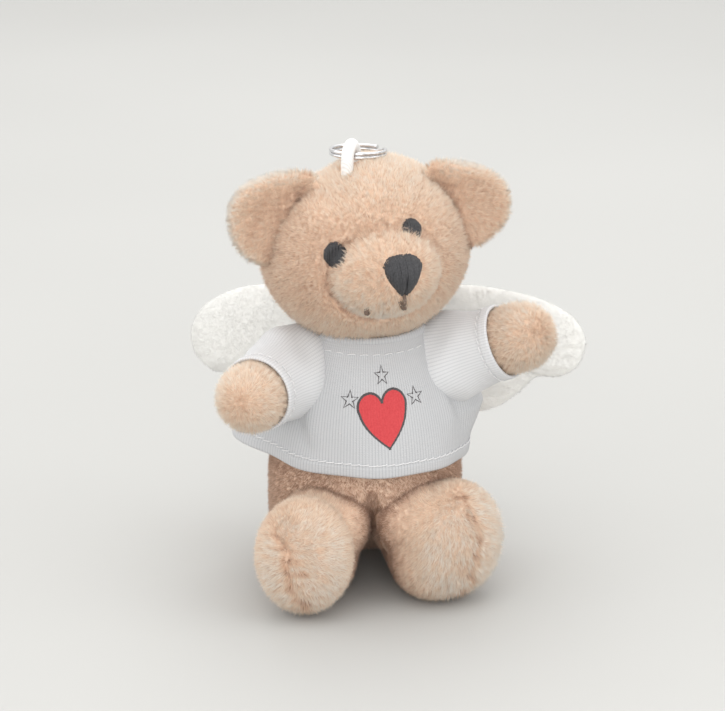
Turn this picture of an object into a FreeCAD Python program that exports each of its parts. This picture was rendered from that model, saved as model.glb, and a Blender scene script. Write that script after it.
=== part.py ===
import FreeCAD, Part
import math
import os

from FreeCAD import Vector

# Plush bear keychain, sitting, in a knitted shirt with padded wings on its back.
# Millimetres. +Z is up, the bear faces -Y, and the origin is the centre of the flat seat.
# Fur stands outside these solids: each skin ends where its pile begins.

# ---- cloth, thread and fits ----
plush_thickness = 1.2
jersey_thickness = 0.6
thread_radius = 0.3
body_clearance = 0.3
shirt_gap = 0.3

# ---- torso: (radius, height) of its outline, from the seat to the neck ----
seat_radius = 13.0
belly_radius = 21.8
belly_height = 19.0
chest_radius = 18.0
torso_height = 56.0
neck_opening_radius = 8.6
side_seam_lean = 16.0

# ---- shirt ----
hem_height = belly_height + 11.3
hem_radius = belly_radius + 2.1
shirt_chest_height = torso_height - 14.0
shirt_chest_radius = chest_radius + 3.6
shirt_top_height = torso_height + 1.0
collar_radius = neck_opening_radius + 2.0
neckband_thickness = 1.2
hem_fold = 2.2

# ---- neck and head ----
neck_pivot = Vector(0, -1, torso_height + 1)
neck_ball_radius = 6.0
neck_thread_radius = 0.45
head_half_width = 23.2
head_radius = 20.4
head_centre = Vector(-0.5, -3, torso_height + 2.6 + head_radius)
head_turn = 8.0
gusset_half_width = 7.0
muzzle_centre = head_centre + head_radius * Vector(0.0784, -0.799, -0.0686)
muzzle_half_width = 11.4
muzzle_radius = 9.2

# ---- face, each place a point near the surface that it is sewn on ----
satin_thickness = 0.5
eye_left_place = head_centre + head_radius * Vector(-0.4755, -0.9118, 0.1716)
eye_right_place = head_centre + head_radius * Vector(0.3824, -0.8431, 0.4118)
eye_width = 5.0
eye_height = 5.6
nose_place = muzzle_centre + muzzle_radius * Vector(0.3043, -0.9565, 0.1739)
nose_width = 9.0
nose_height = 9.4
mouth_place = muzzle_centre + muzzle_radius * Vector(0.3478, -0.8152, -0.5)
mouth_side_place = muzzle_centre + muzzle_radius * Vector(-0.4891, -0.663, -0.7065)
mouth_stitch_width = 0.8
mouth_stitch_length = 3.2
mouth_side_length = 1.6
mouth_thickness = 0.35

# ---- ears ----
ear_radius = 10.7
ear_half_thickness = 3.1
ear_left_centre = head_centre + Vector(-0.8405 * head_half_width, -0.0735 * head_radius, head_radius / 3)
ear_right_centre = head_centre + Vector(0.9957 * head_half_width, -0.0245 * head_radius, 0.3725 * head_radius)
ear_lean = 8.0
ear_flex = 15.0

# ---- arms: outline along the arm from the shoulder ----
shoulder_half_spacing = chest_radius - 2.5
shoulder_depth = -3.0
shoulder_height = torso_height - 5.0
shoulder_ball_radius = 7.0
arm_length = 22.8
arm_radius = 6.3
paw_radius = arm_radius + 0.6
sleeve_left_length = arm_length - 2.3
sleeve_right_length = arm_length - 4.3
sleeve_gap = 0.25
cuff_fold = 2.0
arm_left_aim = (-35.4, 0.0)
arm_right_aim = (56.3, 22.6)
arm_left_travel = (-12.0, 20.0)
arm_right_travel = (-20.0, 8.0)

# ---- legs: outline along the leg from the hip ----
foot_radius = 13.6
thigh_radius = foot_radius - 1.6
leg_length = 17.8
foot_ball_reach = leg_length - 9.3
hip_half_spacing = belly_radius - 8.65
hip_shift = -1.3
hip_depth = 8.8 - belly_radius
hip_height = foot_radius + 0.1
hip_ball_radius = 8.0
leg_left_aim = (-12.0, 0.0)
leg_right_aim = (28.0, 0.0)
leg_lift = 10.0
leg_drop = 30.0

# ---- wings: outline outwards from the root ----
wing_length = 47.0
wing_thickness = 5.0
wing_edge_round = 1.9
wing_root_radius = 3.0
wing_root_height = torso_height - 4.0
wing_depth = chest_radius + 4.3
wing_hinge_depth = chest_radius + 1.0
wing_left_root = -3.0
wing_right_root = 8.5
wing_left_sweep = 46.0
wing_right_sweep = -8.0
wing_left_droop = 8.0
wing_right_droop = 0.0
wing_flap_forward = 12.0
wing_flap_back = 25.0

# ---- loop, knot and split ring on the crown ----
cord_diameter = 2.8
loop_base = head_centre + Vector(-3.5, -2.2, head_radius - 0.4)
loop_turn = 24.0
loop_half_width = 3.1
loop_rise = cord_diameter + 1.1
ring_clearance = 0.2
tail_length = 9.8
knot_radius = 3.2
ring_outer_diameter = 13.0
ring_wire = 0.8
ring_turn_gap = 0.02
ring_step = 40.0
ring_end_gap = 3.0
ring_tilt = 4.0
ring_spin = 60.0

# ---- chest print, a film on the shirt ----
print_thickness = 0.12
heart_width = 11.6
heart_height = 13.4
heart_centre_height = hem_height + 14.7
print_turn = 2.6

parts = {}


def offset_points(points, amount, closed=False):
    """Points of an outline moved outwards, to the right of its direction."""
    moved = []
    count = len(points)
    for index, (x, y) in enumerate(points):
        before = points[(index - 1) % count] if closed or index > 0 else points[0]
        after = points[(index + 1) % count] if closed or index < count - 1 else points[-1]
        along_x = after[0] - before[0]
        along_y = after[1] - before[1]
        length = math.hypot(along_x, along_y)
        moved.append((x + amount * along_y / length, y - amount * along_x / length))
    return moved


def turned_solid(outline, grow=0.0):
    """Solid of revolution about Z. The outline lists (radius, height) upwards, with flat ends."""
    moved = offset_points(outline, grow)
    low = outline[0][1] - grow
    high = outline[-1][1] + grow
    moved[0] = (moved[0][0], low)
    moved[-1] = (moved[-1][0], high)
    points = [Vector(radius, 0, height) for radius, height in moved]
    curve = Part.BSplineCurve()
    curve.interpolate(points)
    edges = [
        Part.makeLine(Vector(0, 0, low), points[0]),
        curve.toShape(),
        Part.makeLine(points[-1], Vector(0, 0, high)),
        Part.makeLine(Vector(0, 0, high), Vector(0, 0, low)),
    ]
    face = Part.Face(Part.Wire(edges))
    return face.revolve(Vector(0, 0, 0), Vector(0, 0, 1), 360)


def limb_solid(outline, tip, grow=0.0):
    """Solid of revolution about Z with a round tip at the height named by tip."""
    moved = offset_points(outline, grow)
    points = [Vector(radius, 0, height) for radius, height in moved]
    points[0].z = outline[0][1]
    points.append(Vector(0, 0, tip + grow))
    curve = Part.BSplineCurve()
    curve.interpolate(Points=points, InitialTangent=Vector(0.2, 0, 1), FinalTangent=Vector(-1, 0, 0))
    edges = [
        Part.makeLine(Vector(0, 0, outline[0][1]), points[0]),
        curve.toShape(),
        Part.makeLine(points[-1], Vector(0, 0, outline[0][1])),
    ]
    face = Part.Face(Part.Wire(edges))
    return face.revolve(Vector(0, 0, 0), Vector(0, 0, 1), 360)


def spheroid(centre, half_length, radius, axis=Vector(1, 0, 0)):
    """Ellipsoid of revolution about the given axis."""
    stretch = FreeCAD.Matrix()
    stretch.scale(Vector(radius, radius, half_length))
    solid = Part.makeSphere(1).transformGeometry(stretch)
    solid.Placement = FreeCAD.Placement(centre, FreeCAD.Rotation(Vector(0, 0, 1), axis))
    return solid


def ball(centre, radius):
    return Part.makeSphere(radius, centre)


def half_space(point, normal, size=120.0):
    """Large block that fills the side of a plane that its normal points to."""
    block = Part.makeBox(2 * size, 2 * size, size, Vector(-size, -size, 0))
    block.Placement = FreeCAD.Placement(point, FreeCAD.Rotation(Vector(0, 0, 1), normal))
    return block


def aim_vector(azimuth, elevation):
    """Unit vector at an azimuth from -Y towards +X, raised by an elevation, in degrees."""
    turn = math.radians(azimuth)
    rise = math.radians(elevation)
    return Vector(math.sin(turn) * math.cos(rise), -math.cos(turn) * math.cos(rise), math.sin(rise))


def swept_angles(low, high, step=10.0):
    """Angles that cover a joint's travel, both ends and the rest position included."""
    count = max(1, math.ceil((high - low) / step))
    angles = [low + (high - low) * index / count for index in range(count + 1)]
    return angles if 0.0 in angles else angles + [0.0]


def trimmed(shape, obstacle, pivot, axis, low, high):
    """Shape less what an obstacle would touch while the shape turns through its travel."""
    for angle in swept_angles(low, high):
        tool = obstacle.copy()
        tool.rotate(pivot, axis, -angle)
        shape = shape.cut(tool)
    return shape


def keep(name, shape):
    """Store a node as its one solid, and stop if it is missing or came apart."""
    solids = sorted(shape.Solids, key=lambda solid: -solid.Volume)
    if not solids:
        raise ValueError(f"{name} has no solid")
    if len(solids) > 1 and solids[1].Volume > 0.01:
        raise ValueError(f"{name} came apart: {[round(solid.Volume, 3) for solid in solids]}")
    parts[name] = solids[0]


# ---- outlines ----
torso_outline = [
    (seat_radius, 0.0),
    (0.86 * belly_radius, 0.24 * belly_height),
    (0.975 * belly_radius, 0.62 * belly_height),
    (belly_radius, belly_height),
    (0.985 * belly_radius, belly_height + 9),
    (0.5 * (belly_radius + chest_radius), belly_height + 17),
    (chest_radius, torso_height - 12),
    (0.8 * chest_radius, torso_height - 6),
    (0.5 * (0.72 * chest_radius + neck_opening_radius), torso_height - 1.8),
    (neck_opening_radius, torso_height),
]
shirt_outline = [
    (hem_radius, hem_height),
    (0.99 * hem_radius, hem_height + 5.5),
    (shirt_chest_radius, shirt_chest_height),
    (0.87 * shirt_chest_radius, shirt_chest_height + 6),
    (0.5 * (0.87 * shirt_chest_radius + collar_radius), shirt_chest_height + 10.4),
    (collar_radius, shirt_top_height),
]
arm_outline = [
    (0.94 * arm_radius, 0.0),
    (0.98 * arm_radius, 0.25 * arm_length),
    (arm_radius, 0.62 * arm_length),
    (paw_radius, arm_length),
    (0.82 * paw_radius, arm_length + 0.56 * paw_radius),
]
leg_outline = [
    (0.96 * thigh_radius, 0.0),
    (1.02 * thigh_radius, 0.36 * foot_ball_reach),
    (0.97 * foot_radius, 0.72 * foot_ball_reach),
    (foot_radius, foot_ball_reach),
    (0.86 * foot_radius, 0.5 * (foot_ball_reach + leg_length)),
    (0.52 * foot_radius, 0.15 * foot_ball_reach + 0.85 * leg_length),
]
wing_outline = [
    (0.0, 6.2),
    (0.20 * wing_length, 9.4),
    (0.44 * wing_length, 10.4),
    (0.68 * wing_length, 8.4),
    (0.86 * wing_length, 4.6),
    (0.97 * wing_length, -0.6),
    (wing_length, -5.2),
    (0.95 * wing_length, -10.0),
    (0.85 * wing_length, -12.4),
    (0.74 * wing_length, -13.6),
    (0.66 * wing_length, -17.4),
    (0.52 * wing_length, -20.8),
    (0.36 * wing_length, -19.6),
    (0.18 * wing_length, -13.6),
    (0.03 * wing_length, -6.6),
]

# ---- shared envelopes ----
def clothed_body(grow):
    """Torso and shirt together, filled, as what the limbs and wings must stay clear of."""
    return turned_solid(torso_outline, grow).fuse(turned_solid(shirt_outline, grow))


skin_limit = clothed_body(body_clearance)
stuffing_limit = clothed_body(body_clearance + plush_thickness)
head_turning = FreeCAD.Rotation(Vector(0, 0, 1), head_turn)
head_axis = head_turning.multVec(Vector(1, 0, 0))
pivots = {
    "neck_turn": (neck_pivot, Vector(0, 0, 1)),
    "head_nod": (neck_pivot, head_axis),
}


def head_ball(grow):
    return spheroid(head_centre, head_half_width + grow, head_radius + grow, head_axis)


def head_form(grow):
    """The head without its muzzle, with the ball of its neck."""
    return head_ball(grow).fuse(ball(neck_pivot, neck_ball_radius + grow))


def muzzle_form(grow):
    return spheroid(muzzle_centre, muzzle_half_width + grow, muzzle_radius + grow, head_axis)


# ---- arms with sleeves ----
def build_arm(side, sign, aim, travel, sleeve_length):
    pivot = Vector(sign * shoulder_half_spacing, shoulder_depth, shoulder_height)
    direction = aim_vector(*aim)
    swing_axis = direction.cross(Vector(0, 0, 1)).normalize()
    placing = FreeCAD.Placement(pivot, FreeCAD.Rotation(Vector(0, 0, 1), direction))
    pivots["arm_" + side] = (pivot, swing_axis)

    def rooted(shape, limit):
        shape.Placement = placing
        return trimmed(shape, limit, pivot, swing_axis, *travel)

    tip = arm_length + paw_radius
    outer = rooted(limb_solid(arm_outline, tip), skin_limit).fuse(ball(pivot, shoulder_ball_radius))
    inner = rooted(limb_solid(arm_outline, tip, -plush_thickness), stuffing_limit)
    inner = inner.fuse(ball(pivot, shoulder_ball_radius - plush_thickness))
    skin = outer.cut(inner)
    keep(f"arm_{side}_front_panel", skin.common(half_space(pivot, -direction.cross(swing_axis))))
    keep(f"arm_{side}_back_panel", skin.common(half_space(pivot, direction.cross(swing_axis))))
    keep(f"arm_{side}_stuffing", inner)

    bore = paw_radius + sleeve_gap
    wall = bore + jersey_thickness
    sleeve = Part.makeCylinder(wall, sleeve_length)
    fold = Part.makeCylinder(wall + jersey_thickness, cuff_fold, Vector(0, 0, sleeve_length - cuff_fold))
    sleeve = sleeve.fuse(fold).cut(Part.makeCylinder(bore, sleeve_length))
    stitch_height = sleeve_length - cuff_fold - thread_radius
    stitches = Part.makeTorus(wall + 0.5 * thread_radius, thread_radius, Vector(0, 0, stitch_height))
    sleeve = sleeve.cut(stitches)
    stitches.Placement = placing
    keep(f"sleeve_{side}", rooted(sleeve, skin_limit).cut(ball(pivot, shoulder_ball_radius)))
    keep(f"cuff_{side}_stitching", stitches)


build_arm("left", -1, arm_left_aim, arm_left_travel, sleeve_left_length)
build_arm("right", 1, arm_right_aim, arm_right_travel, sleeve_right_length)


# ---- legs ----
def build_leg(side, sign, aim):
    pivot = Vector(hip_shift + sign * hip_half_spacing, hip_depth, hip_height)
    direction = aim_vector(*aim)
    swing_axis = direction.cross(Vector(0, 0, 1)).normalize()
    placing = FreeCAD.Placement(pivot, FreeCAD.Rotation(Vector(0, 0, 1), direction))
    pivots["leg_" + side] = (pivot, swing_axis)

    def rooted(grow, limit):
        shape = limb_solid(leg_outline, leg_length, grow)
        shape.Placement = placing
        shape = trimmed(shape, limit, pivot, swing_axis, -leg_drop, leg_lift)
        return shape.fuse(ball(pivot, hip_ball_radius + grow))

    outer = rooted(0.0, skin_limit)
    inner = rooted(-plush_thickness, stuffing_limit)
    skin = outer.cut(inner)
    keep(f"leg_{side}_outer_panel", skin.common(half_space(pivot, swing_axis * sign)))
    keep(f"leg_{side}_inner_panel", skin.common(half_space(pivot, swing_axis * -sign)))
    keep(f"leg_{side}_stuffing", inner)


build_leg("left", -1, leg_left_aim)
build_leg("right", 1, leg_right_aim)


# ---- torso ----
def build_torso():
    pockets = [ball(neck_pivot, neck_ball_radius + body_clearance)]
    for side in ("left", "right"):
        pockets.append(ball(pivots["arm_" + side][0], shoulder_ball_radius + body_clearance))
        pockets.append(ball(pivots["leg_" + side][0], hip_ball_radius + body_clearance))
    outer = turned_solid(torso_outline)
    inner = turned_solid(torso_outline, -plush_thickness)
    for pocket in pockets:
        outer = outer.cut(pocket)
        inner = inner.cut(pocket)
    skin = outer.cut(inner)
    seam_normal = Vector(0, torso_height, side_seam_lean).normalize()
    seam_point = Vector(0, 0, torso_height)
    keep("torso_front_panel", skin.common(half_space(seam_point, -seam_normal)))
    keep("torso_back_panel", skin.common(half_space(seam_point, seam_normal)))
    keep("torso_stuffing", inner)
    return pockets


body_pockets = build_torso()


# ---- shirt, neckband, hem stitching and print ----
def build_shirt(pockets):
    outer = turned_solid(shirt_outline)
    inner_outline = offset_points(shirt_outline, -jersey_thickness)
    inner_outline[0] = (inner_outline[0][0], hem_height - 1)
    inner_outline[-1] = (inner_outline[-1][0], shirt_top_height + 1)
    shell = outer.cut(turned_solid(inner_outline)).cut(turned_solid(torso_outline, 0.5 * shirt_gap))
    for pocket in pockets:
        shell = shell.cut(pocket)
    stitch_height = hem_height + hem_fold
    stitches = Part.makeTorus(hem_radius + 0.2 * thread_radius, thread_radius, Vector(0, 0, stitch_height))
    band_radius = collar_radius - 0.5 * neckband_thickness + 0.3
    band = Part.makeTorus(band_radius, 0.5 * neckband_thickness, Vector(0, 0, shirt_top_height + 0.2))
    band = band.cut(turned_solid(torso_outline, 0.5 * shirt_gap))
    shell = shell.cut(stitches).cut(band)
    keep("shirt_front", shell.common(half_space(Vector(0, 0, 0), Vector(0, -1, 0))))
    keep("shirt_back", shell.common(half_space(Vector(0, 0, 0), Vector(0, 1, 0))))
    keep("hem_stitching", stitches)
    keep("neckband", band)


def heart_prism(width, height, centre_height):
    """A plain symmetrical heart, drawn upright and extruded forwards."""
    half = 0.5 * width
    lobe = 0.5 * half
    shoulder = centre_height + 0.5 * height - lobe
    tip = Vector(0, 0, centre_height - 0.5 * height)
    notch = Vector(0, 0, shoulder + 0.25 * lobe)
    edges = []
    for sign in (-1, 1):
        widest = Vector(sign * half, 0, shoulder)
        edges.append(Part.Arc(notch, Vector(sign * lobe, 0, shoulder + lobe), widest).toShape())
        curve = Part.BezierCurve()
        bulge = Vector(sign * half, 0, shoulder - 0.42 * height)
        curve.setPoles([widest, bulge, tip])
        edges.append(curve.toShape())
    face = Part.Face(Part.Wire(Part.__sortEdges__(edges)))
    return face.extrude(Vector(0, -2 * hem_radius, 0))


def build_print():
    film = turned_solid(shirt_outline, print_thickness).cut(turned_solid(shirt_outline))
    heart = heart_prism(heart_width, heart_height, heart_centre_height)
    heart.rotate(Vector(0, 0, 0), Vector(0, 0, 1), print_turn)
    keep("chest_print", film.common(heart))


build_shirt(body_pockets)
build_print()

# ---- neck seam ----
neck_seam_radius = neck_ball_radius + body_clearance + neck_thread_radius
keep("neck_seam", Part.makeTorus(neck_seam_radius, neck_thread_radius, neck_pivot))


# ---- loop, knot and ring ----
def loop_route():
    """Points of the loop's cord, from the knot up, round the ring and back down to the knot."""
    top = loop_base.z + loop_rise
    knot_top = loop_base.z - tail_length
    corner = loop_half_width * math.tan(math.radians(22.5))
    near = 0.5 * cord_diameter + 0.05
    route = [(-near, knot_top), (-near - 0.35, knot_top + 3.0)]
    route.append((-loop_half_width, loop_base.z - 1.5))
    route.append((-loop_half_width - 0.1, top - loop_half_width + corner))
    route.append((-corner, top))
    mirrored = [(-across, height) for across, height in reversed(route)]
    backwards = FreeCAD.Rotation(Vector(0, 0, 1), -loop_turn).multVec(Vector(0, 1, 0))
    lifted = Vector(loop_base.x, loop_base.y, 0)
    return [lifted + backwards * across + Vector(0, 0, height) for across, height in route + mirrored]


def rounded_path(points):
    """Straight runs joined by tangent arcs, with each arc's radius from its shorter run."""
    edges = []
    radii = []
    start = points[0]
    for before, corner, after in zip(points, points[1:], points[2:]):
        turn = (corner - before).getAngle(after - corner)
        shorter = min((corner - before).Length, (after - corner).Length)
        reach = 0.45 * shorter
        radii.append(reach / math.tan(turn / 2))
        arc_start = corner + (before - corner).normalize() * reach
        arc_end = corner + (after - corner).normalize() * reach
        inward = ((before - corner).normalize() + (after - corner).normalize()).normalize()
        sagitta = radii[-1] / math.cos(turn / 2) - radii[-1]
        edges.append(Part.makeLine(start, arc_start))
        edges.append(Part.Arc(arc_start, corner + inward * sagitta, arc_end).toShape())
        start = arc_end
    edges.append(Part.makeLine(start, points[-1]))
    return Part.Wire(edges), radii


def build_loop():
    path, radii = rounded_path(loop_route())
    print("cord length", round(path.Length, 2), "radii", [round(radius, 1) for radius in radii])
    start = loop_route()[0]
    section = Part.Wire(Part.makeCircle(0.5 * cord_diameter, start, loop_route()[1] - start))
    cord = path.makePipeShell([section], True, False)
    print("cord volume", round(cord.Volume, 2), round(path.Length * math.pi * cord_diameter**2 / 4, 2))
    knot_centre = Vector(loop_base.x, loop_base.y, start.z - 0.75 * knot_radius)
    knot = ball(knot_centre, knot_radius).cut(cord)
    keep("cord_loop", cord)
    keep("cord_knot", knot)
    return cord, knot


def build_ring():
    """Two turns of round wire, one on the other, joined by a step down from turn to turn."""
    radius = 0.5 * (ring_outer_diameter - ring_wire)
    lift = 0.5 * ring_wire + ring_turn_gap
    step_start = 360 - ring_step

    def on_ring(angle, height):
        turn = math.radians(angle)
        return Vector(radius * math.cos(turn), radius * math.sin(turn), height)

    upper = Part.Arc(on_ring(0, lift), on_ring(0.5 * step_start, lift), on_ring(step_start, lift))
    lower_end = on_ring(step_start - ring_end_gap, -lift)
    lower = Part.Arc(on_ring(0, -lift), on_ring(0.5 * step_start, -lift), lower_end)
    step = Part.BSplineCurve()
    leaving = on_ring(step_start + 90, 0).normalize()
    points = []
    for share in (0, 0.25, 0.5, 0.75, 1):
        points.append(on_ring(step_start + ring_step * share, lift * math.cos(math.pi * share)))
    step.interpolate(Points=points, InitialTangent=leaving, FinalTangent=Vector(0, 1, 0))
    path = Part.Wire([upper.toShape(), step.toShape(), lower.toShape()])
    section = Part.Wire(Part.makeCircle(0.5 * ring_wire, on_ring(0, lift), Vector(0, 1, 0)))
    return path.makePipeShell([section], True, False)


def place_ring(ring):
    """Hang the ring in the loop, lying back on the crown, and hinge it where its wire passes through."""
    wire_height = loop_base.z + loop_rise - 0.5 * cord_diameter - ring_clearance - ring_wire - ring_turn_gap
    pivot = Vector(loop_base.x, loop_base.y, wire_height)
    turning = FreeCAD.Rotation(Vector(0, 0, 1), -loop_turn)
    leaning = turning.multiply(FreeCAD.Rotation(Vector(1, 0, 0), -ring_tilt))
    centre = pivot + leaning.multVec(Vector(0, 0.5 * (ring_outer_diameter - ring_wire), 0))
    ring.Placement = FreeCAD.Placement(centre, leaning.multiply(FreeCAD.Rotation(Vector(0, 0, 1), ring_spin)))
    pivots["ring_swing"] = (pivot, leaning.multVec(Vector(1, 0, 0)))
    pivots["ring_centre"] = (centre, leaning.multVec(Vector(0, 0, 1)))
    keep("split_ring", ring)


cord, knot = build_loop()
place_ring(build_ring())


# ---- head ----
def build_head():
    outer = head_form(0.0)
    inner = head_form(-plush_thickness)
    muzzle = muzzle_form(0.0)
    skin = outer.cut(inner).cut(muzzle).cut(cord)
    stuffing = inner.fuse(muzzle_form(-plush_thickness)).cut(cord).cut(knot)
    left_seam = head_centre - head_axis * gusset_half_width
    right_seam = head_centre + head_axis * gusset_half_width
    keep("head_left_panel", skin.common(half_space(left_seam, -head_axis)))
    keep("head_right_panel", skin.common(half_space(right_seam, head_axis)))
    middle = skin.common(half_space(left_seam, head_axis)).common(half_space(right_seam, -head_axis))
    keep("head_gusset", middle)
    keep("muzzle_panel", muzzle.cut(muzzle_form(-plush_thickness)).cut(head_ball(-plush_thickness)))
    keep("head_stuffing", stuffing)


# ---- embroidered face ----
def patch_frame(place, centre, half_length, radius):
    """Frame with its origin inside the form at a place, Z along the surface normal and Y upwards."""
    local = head_turning.inverted().multVec(place - centre)
    gradient = Vector(local.x / half_length**2, local.y / radius**2, local.z / radius**2)
    normal = head_turning.multVec(gradient).normalize()
    sideways = Vector(0, 0, 1).cross(normal).normalize()
    upright = normal.cross(sideways)
    return FreeCAD.Placement(place - normal * 3, FreeCAD.Rotation(sideways, upright, normal, "ZXY"))


def patch(outline, frame, form, thickness_form):
    """Embroidery of a given outline that stands on a form, up to a slightly larger form."""
    face = Part.Face(Part.Wire(outline))
    prism = face.extrude(Vector(0, 0, 6))
    prism.Placement = frame
    return prism.common(thickness_form).cut(form)


def oval(width, height):
    long_half = 0.5 * max(width, height)
    short_half = 0.5 * min(width, height)
    curve = Part.Ellipse(Vector(0, 0, 0), long_half, short_half)
    if height > width:
        curve.rotate(FreeCAD.Placement(Vector(0, 0, 0), Vector(0, 0, 1), 90))
    return [curve.toShape()]


def shield(width, height):
    """Nose outline: broad and nearly flat at the top, narrowing to a blunt point."""
    shares = [(0.0, 0.5), (0.36, 0.42), (0.5, 0.14), (0.34, -0.24), (0.0, -0.5)]
    shares += [(-across, up) for across, up in reversed(shares[1:-1])]
    curve = Part.BSplineCurve()
    curve.interpolate(Points=[Vector(x * width, y * height, 0) for x, y in shares], PeriodicFlag=True)
    return [curve.toShape()]


def bar(width, height):
    corners = [(-0.5, -0.5), (0.5, -0.5), (0.5, 0.5), (-0.5, 0.5), (-0.5, -0.5)]
    return Part.makePolygon([Vector(x * width, y * height, 0) for x, y in corners]).Edges


def build_face():
    muzzle = muzzle_form(0.0)
    for side, place in (("left", eye_left_place), ("right", eye_right_place)):
        frame = patch_frame(place, head_centre, head_half_width, head_radius)
        eye = patch(oval(eye_width, eye_height), frame, head_ball(0.0), head_ball(satin_thickness))
        keep("eye_" + side, eye.cut(muzzle))
    frame = patch_frame(nose_place, muzzle_centre, muzzle_half_width, muzzle_radius)
    keep("nose", patch(shield(nose_width, nose_height), frame, muzzle, muzzle_form(satin_thickness)))
    raised_muzzle = muzzle_form(mouth_thickness)
    frame = patch_frame(mouth_place, muzzle_centre, muzzle_half_width, muzzle_radius)
    keep("mouth_stitch", patch(bar(mouth_stitch_width, mouth_stitch_length), frame, muzzle, raised_muzzle))
    frame = patch_frame(mouth_side_place, muzzle_centre, muzzle_half_width, muzzle_radius)
    keep("mouth_side_stitch", patch(bar(mouth_stitch_width, mouth_side_length), frame, muzzle, raised_muzzle))


# ---- ears ----
def build_ear(side, sign, centre):
    outwards = (centre - head_centre).normalize()
    local = head_turning.inverted().multVec(outwards)
    across = math.hypot(local.y, local.z)
    reach = 1 / math.hypot(local.x / head_half_width, across / head_radius)
    pivot = head_centre + outwards * reach
    facing = FreeCAD.Rotation(Vector(0, 0, 1), sign * ear_lean).multVec(Vector(0, -1, 0))
    hinge = facing.cross(outwards).normalize()
    pivots["ear_" + side] = (pivot, hinge)
    limit = head_ball(body_clearance)
    for panel, normal in (("front", facing), ("back", -facing)):
        form = spheroid(centre, ear_half_thickness, ear_radius, facing).common(half_space(centre, normal))
        keep(f"ear_{side}_{panel}_panel", trimmed(form, limit, pivot, hinge, -ear_flex, ear_flex))


# ---- wings ----
def wing_pad(inset, thickness, edge_round, mirrored):
    """Pillow with the wing's outline, in a plane that its thickness is centred on."""
    flip = -1 if mirrored else 1
    outline = offset_points(wing_outline, inset, closed=True)
    points = [Vector(flip * across, -0.5 * thickness, height) for across, height in outline]
    curve = Part.BSplineCurve()
    curve.interpolate(Points=points, PeriodicFlag=True)
    pad = Part.Face(Part.Wire([curve.toShape()])).extrude(Vector(0, thickness, 0))
    rims = [edge for edge in pad.Edges if edge.BoundBox.YLength < 0.01]
    return pad.makeFillet(edge_round, rims)


def build_wing(side, sign, root, sweep, droop):
    pivot = Vector(root, wing_hinge_depth, wing_root_height)
    hinge = Vector(0, 0, sign)
    centre = Vector(root, wing_depth, wing_root_height)
    turn = FreeCAD.Rotation(Vector(0, 0, 1), sign * sweep)
    tilt = FreeCAD.Rotation(Vector(0, 1, 0), sign * droop)
    placing = FreeCAD.Placement(centre, turn.multiply(tilt))
    pivots["wing_" + side] = (pivot, hinge)

    def hinged(shape, limit):
        return trimmed(shape, limit, pivot, hinge, -wing_flap_forward, wing_flap_back)

    outer_pad = wing_pad(0.0, wing_thickness, wing_edge_round, sign < 0)
    inner_thickness = wing_thickness - 2 * plush_thickness
    inner_pad = wing_pad(plush_thickness, inner_thickness, 0.4 * inner_thickness, sign < 0)
    outer_pad.Placement = placing
    inner_pad.Placement = placing
    root_centre = centre + Vector(sign * wing_root_radius, 0, 0)
    root_stub = Part.makeCylinder(wing_root_radius, 0.5 * wing_depth, root_centre, Vector(0, -1, 0))
    outer = hinged(outer_pad.fuse(root_stub), skin_limit)
    inner = hinged(inner_pad, stuffing_limit)
    skin = outer.cut(inner)
    backwards = placing.Rotation.multVec(Vector(0, 1, 0))
    keep(f"wing_{side}_front_panel", skin.common(half_space(centre, -backwards)))
    keep(f"wing_{side}_back_panel", skin.common(half_space(centre, backwards)))
    keep(f"wing_{side}_stuffing", inner)


build_head()
build_face()
build_ear("left", -1, ear_left_centre)
build_ear("right", 1, ear_right_centre)
build_wing("left", -1, wing_left_root, wing_left_sweep, wing_left_droop)
build_wing("right", 1, wing_right_root, wing_right_sweep, wing_right_droop)

# ---- files ----
os.makedirs("parts", exist_ok=True)
for name, shape in parts.items():
    shape.exportStep(f"parts/{name}.step")
    print(name, round(shape.Volume, 2), shape.isValid(), len(shape.Faces))
for name, (pivot, axis) in pivots.items():
    print(name, [round(value, 3) for value in pivot], [round(value, 4) for value in axis])
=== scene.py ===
# Plush bear keychain: a sitting bear in a knitted shirt, padded wings on its back, cord loop and split ring.
# Lengths in the dictionaries are millimetres, angles are degrees and turns round the shirt are radians.
# The bear faces -Y, and +Z is up.
import math
import bpy
import numpy as np
from mathutils import Matrix, Vector


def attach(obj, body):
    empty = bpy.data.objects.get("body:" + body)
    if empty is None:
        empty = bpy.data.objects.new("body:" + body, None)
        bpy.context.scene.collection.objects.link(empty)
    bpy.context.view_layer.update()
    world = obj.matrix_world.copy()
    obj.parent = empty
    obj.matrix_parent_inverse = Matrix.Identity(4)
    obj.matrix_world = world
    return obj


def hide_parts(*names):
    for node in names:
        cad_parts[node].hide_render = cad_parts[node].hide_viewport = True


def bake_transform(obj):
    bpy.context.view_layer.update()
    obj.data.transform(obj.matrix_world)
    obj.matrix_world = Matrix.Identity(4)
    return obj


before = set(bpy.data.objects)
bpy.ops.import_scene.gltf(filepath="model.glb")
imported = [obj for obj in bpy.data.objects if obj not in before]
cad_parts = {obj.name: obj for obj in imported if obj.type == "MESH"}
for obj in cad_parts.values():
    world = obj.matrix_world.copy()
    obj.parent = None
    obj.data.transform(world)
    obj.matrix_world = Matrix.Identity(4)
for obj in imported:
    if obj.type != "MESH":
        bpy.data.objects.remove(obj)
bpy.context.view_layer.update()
mm = 0.001
print("frame loaded")


# small sums used all over
def unit(ways):
    return ways / np.maximum(np.linalg.norm(ways, axis=-1, keepdims=True), 1e-9)


def ramp(value, low, high):
    share = np.clip((value - low) / (high - low), 0, 1)
    return share * share * (3 - 2 * share)


def hill(distance, width):
    return np.exp(-((distance / width) ** 2))


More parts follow.
